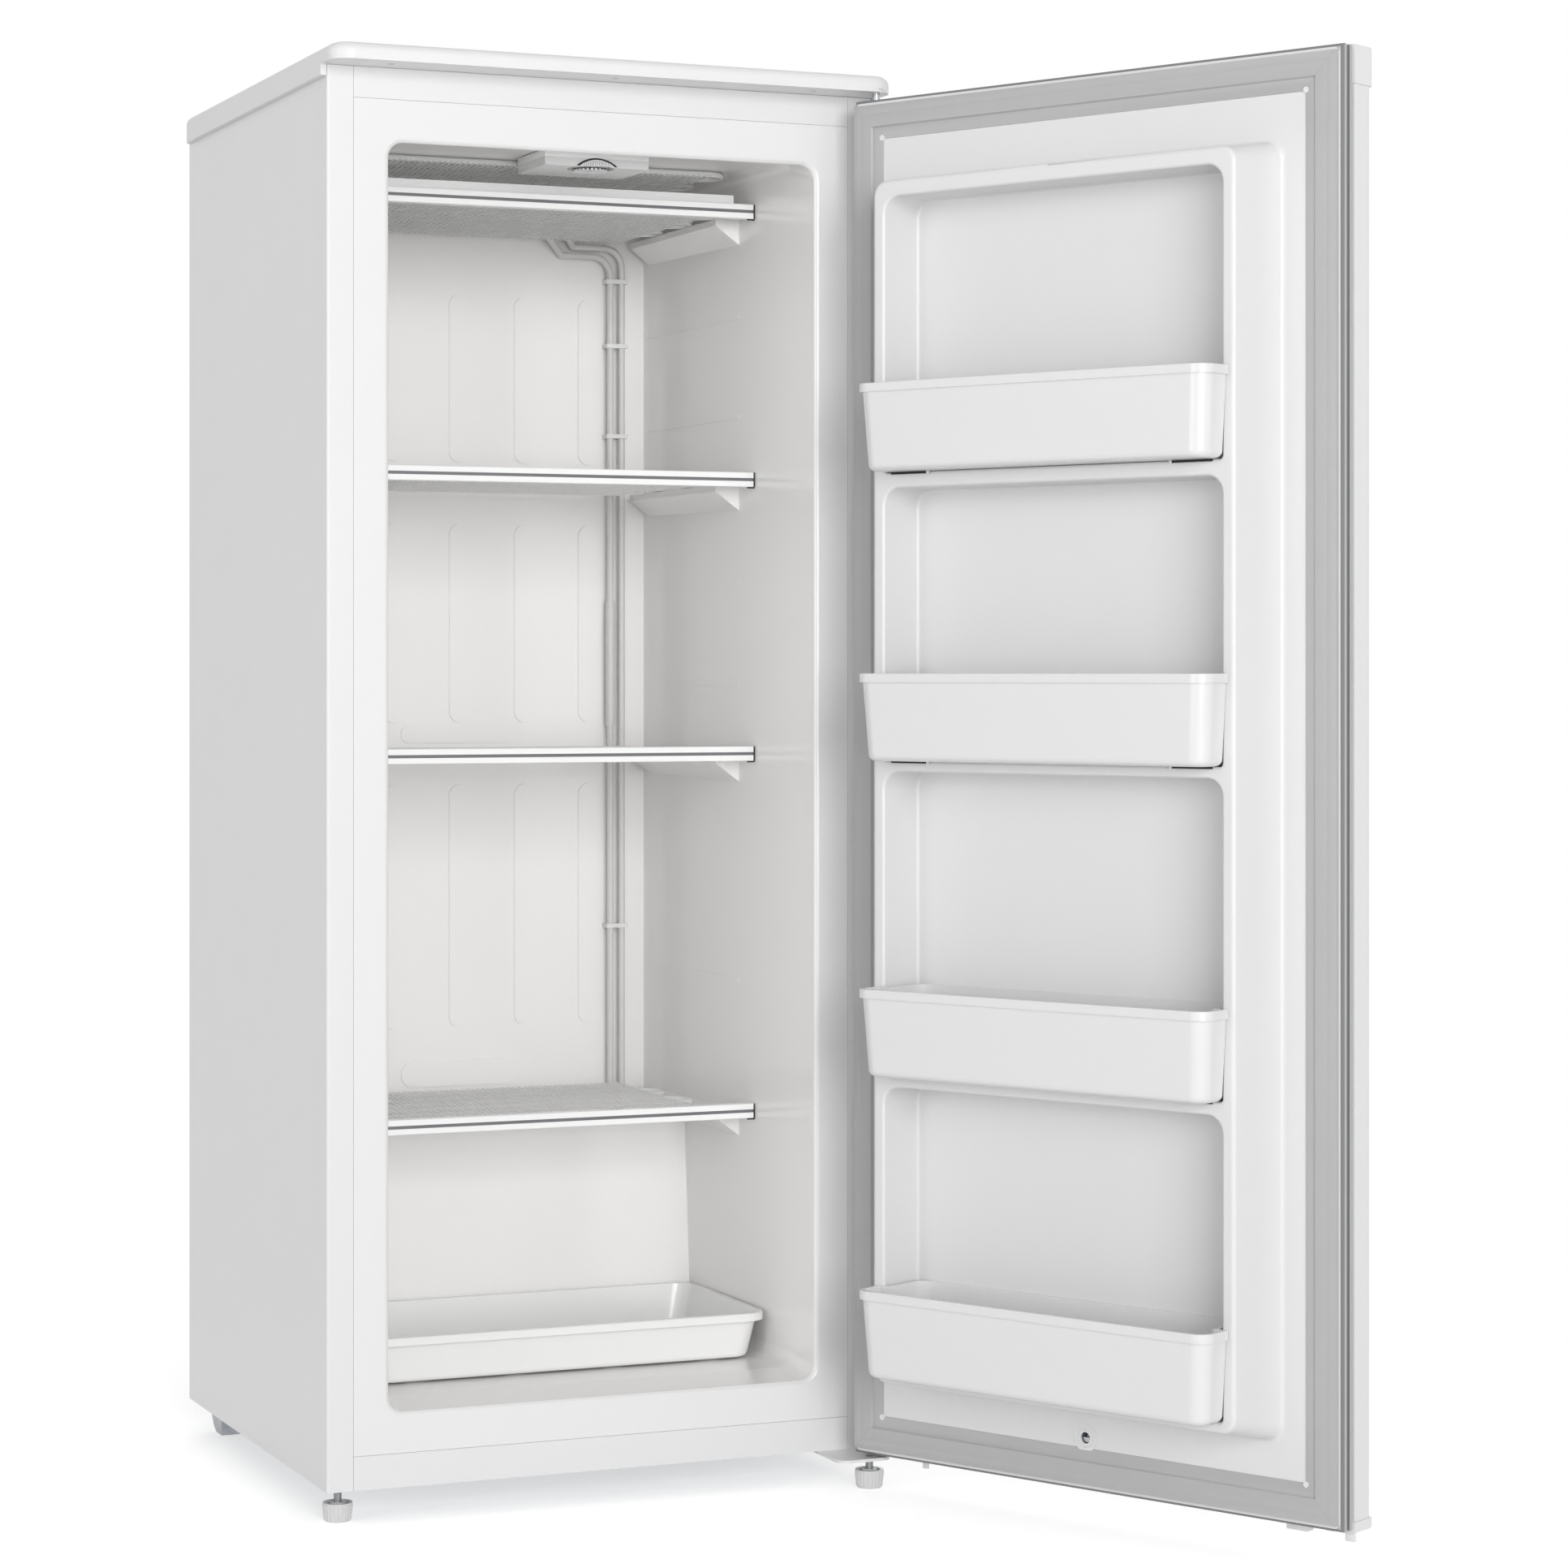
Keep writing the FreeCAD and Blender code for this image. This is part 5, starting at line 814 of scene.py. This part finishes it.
class FREEZER_OT_stage(bpy.types.Operator):
    """Set up the floor, the lights and the camera"""
    bl_idname = "freezer.stage"
    bl_label = "Stage"

    def execute(self, context):
        settings = context.scene.freezer_stage
        self.floor(settings)
        self.lights(context.scene, settings)
        self.camera(context.scene, settings)
        context.scene.view_settings.view_transform = "Standard"
        return {"FINISHED"}

    def floor(self, settings):
        """White floor: it shows the object's shadow nearby and turns plain white further out."""
        bm = bmesh.new()
        bmesh.ops.create_grid(bm, x_segments=1, y_segments=1, size=settings.floor_size / 2)
        mesh = bpy.data.meshes.new("floor")
        bm.to_mesh(mesh)
        bm.free()
        floor = bpy.data.objects.new("floor", mesh)
        bpy.context.scene.collection.objects.link(floor)
        material = bpy.data.materials.new("floor_paper")
        material.use_nodes = True
        tree = material.node_tree
        tree.nodes.clear()
        paper = add(tree, "ShaderNodeBsdfDiffuse", {"Color": PAPER})
        white = add(tree, "ShaderNodeEmission", {"Color": WHITE, "Strength": 1.0})
        seen = seen_ray(tree)
        level = add(tree, "ShaderNodeMath", {1: settings.glow}, {0: seen}, operation="MULTIPLY")
        glow = add(tree, "ShaderNodeEmission", {"Color": WHITE}, {"Strength": level.outputs[0]})
        near = add(tree, "ShaderNodeAddShader", links={0: paper.outputs["BSDF"], 1: glow.outputs["Emission"]})
        place = add(tree, "ShaderNodeTexCoord").outputs["Object"]
        away = add(tree, "ShaderNodeVectorMath", links={"Vector": place}, operation="LENGTH")
        fade = add(tree, "ShaderNodeMapRange", {"From Min": settings.clear * 0.5, "From Max": settings.clear},
                   {"Value": away.outputs["Value"]}, interpolation_type="SMOOTHSTEP")
        share = add(tree, "ShaderNodeMath", links={0: fade.outputs["Result"], 1: seen}, operation="MULTIPLY")
        mix = add(tree, "ShaderNodeMixShader",
                  links={0: share.outputs["Value"], 1: near.outputs["Shader"], 2: white.outputs["Emission"]})
        add(tree, "ShaderNodeOutputMaterial", links={"Surface": mix.outputs["Shader"]})
        mesh.materials.append(material)

    def lights(self, scene, settings):
        """Even light from all sides, and lamps before the front, to the left and behind."""
        world = bpy.data.worlds.new("studio")
        world.use_nodes = True
        tree = world.node_tree
        background = tree.nodes["Background"]
        background.inputs["Color"].default_value = WHITE
        strength = add(tree, "ShaderNodeMapRange", {"To Min": settings.ambient, "To Max": 1.0},
                       {"Value": seen_ray(tree)})
        tree.links.new(strength.outputs["Result"], background.inputs["Strength"])
        scene.world = world
        for name, (place, target, size) in LAMPS.items():
            data = bpy.data.lights.new(name, "AREA")
            data.size = size
            data.energy = getattr(settings, name)
            lamp = bpy.data.objects.new(name, data)
            lamp.location = place
            lamp.rotation_euler = (Vector(target) - Vector(place)).to_track_quat("-Z", "Y").to_euler()
            scene.collection.objects.link(lamp)

    def camera(self, scene, settings):
        """Level camera left of the front, as far off as the photograph's perspective says."""
        data = bpy.data.cameras.new("camera")
        data.lens = settings.lens
        data.sensor_width = SENSOR
        data.shift_y = CAMERA_SHIFT
        camera = bpy.data.objects.new("camera", data)
        camera.location = CAMERA_PLACE
        camera.rotation_euler = CAMERA_TURN
        scene.collection.objects.link(camera)
        scene.camera = camera


class FREEZER_PT_panel(bpy.types.Panel):
    """Panel in the sidebar of the 3D view"""
    bl_label = "Freezer"
    bl_idname = "FREEZER_PT_panel"
    bl_space_type = "VIEW_3D"
    bl_region_type = "UI"
    bl_category = "Freezer"

    def draw(self, context):
        for operator in STEPS:
            self.layout.operator(operator.bl_idname)
        for name in GROUPS:
            group = getattr(context.scene, name)
            box = self.layout.box()
            for setting in group.__annotations__:
                box.prop(group, setting)


GROUPS = {"freezer_colours": FreezerColours, "freezer_shelves": ShelfSizes,
          "freezer_seal": SealSizes, "freezer_details": DetailSizes, "freezer_stage": StageSettings}
STEPS = (FREEZER_OT_finishes, FREEZER_OT_shelves, FREEZER_OT_seal, FREEZER_OT_details, FREEZER_OT_stage)


def register():
    """Register the settings, the operators and the panel."""
    for name, group in GROUPS.items():
        bpy.utils.register_class(group)
        setattr(bpy.types.Scene, name, PointerProperty(type=group))
    for step in STEPS:
        bpy.utils.register_class(step)
    bpy.utils.register_class(FREEZER_PT_panel)


def unregister():
    """Take everything out again."""
    bpy.utils.unregister_class(FREEZER_PT_panel)
    for step in reversed(STEPS):
        bpy.utils.unregister_class(step)
    for name, group in GROUPS.items():
        delattr(bpy.types.Scene, name)
        bpy.utils.unregister_class(group)


def main():
    """Dress the freezer and set the stage."""
    register()
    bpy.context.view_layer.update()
    bpy.ops.freezer.finishes()
    bpy.ops.freezer.shelves()
    bpy.ops.freezer.seal()
    bpy.ops.freezer.details()
    bpy.ops.freezer.stage()


if __name__ == "__main__":
    main()
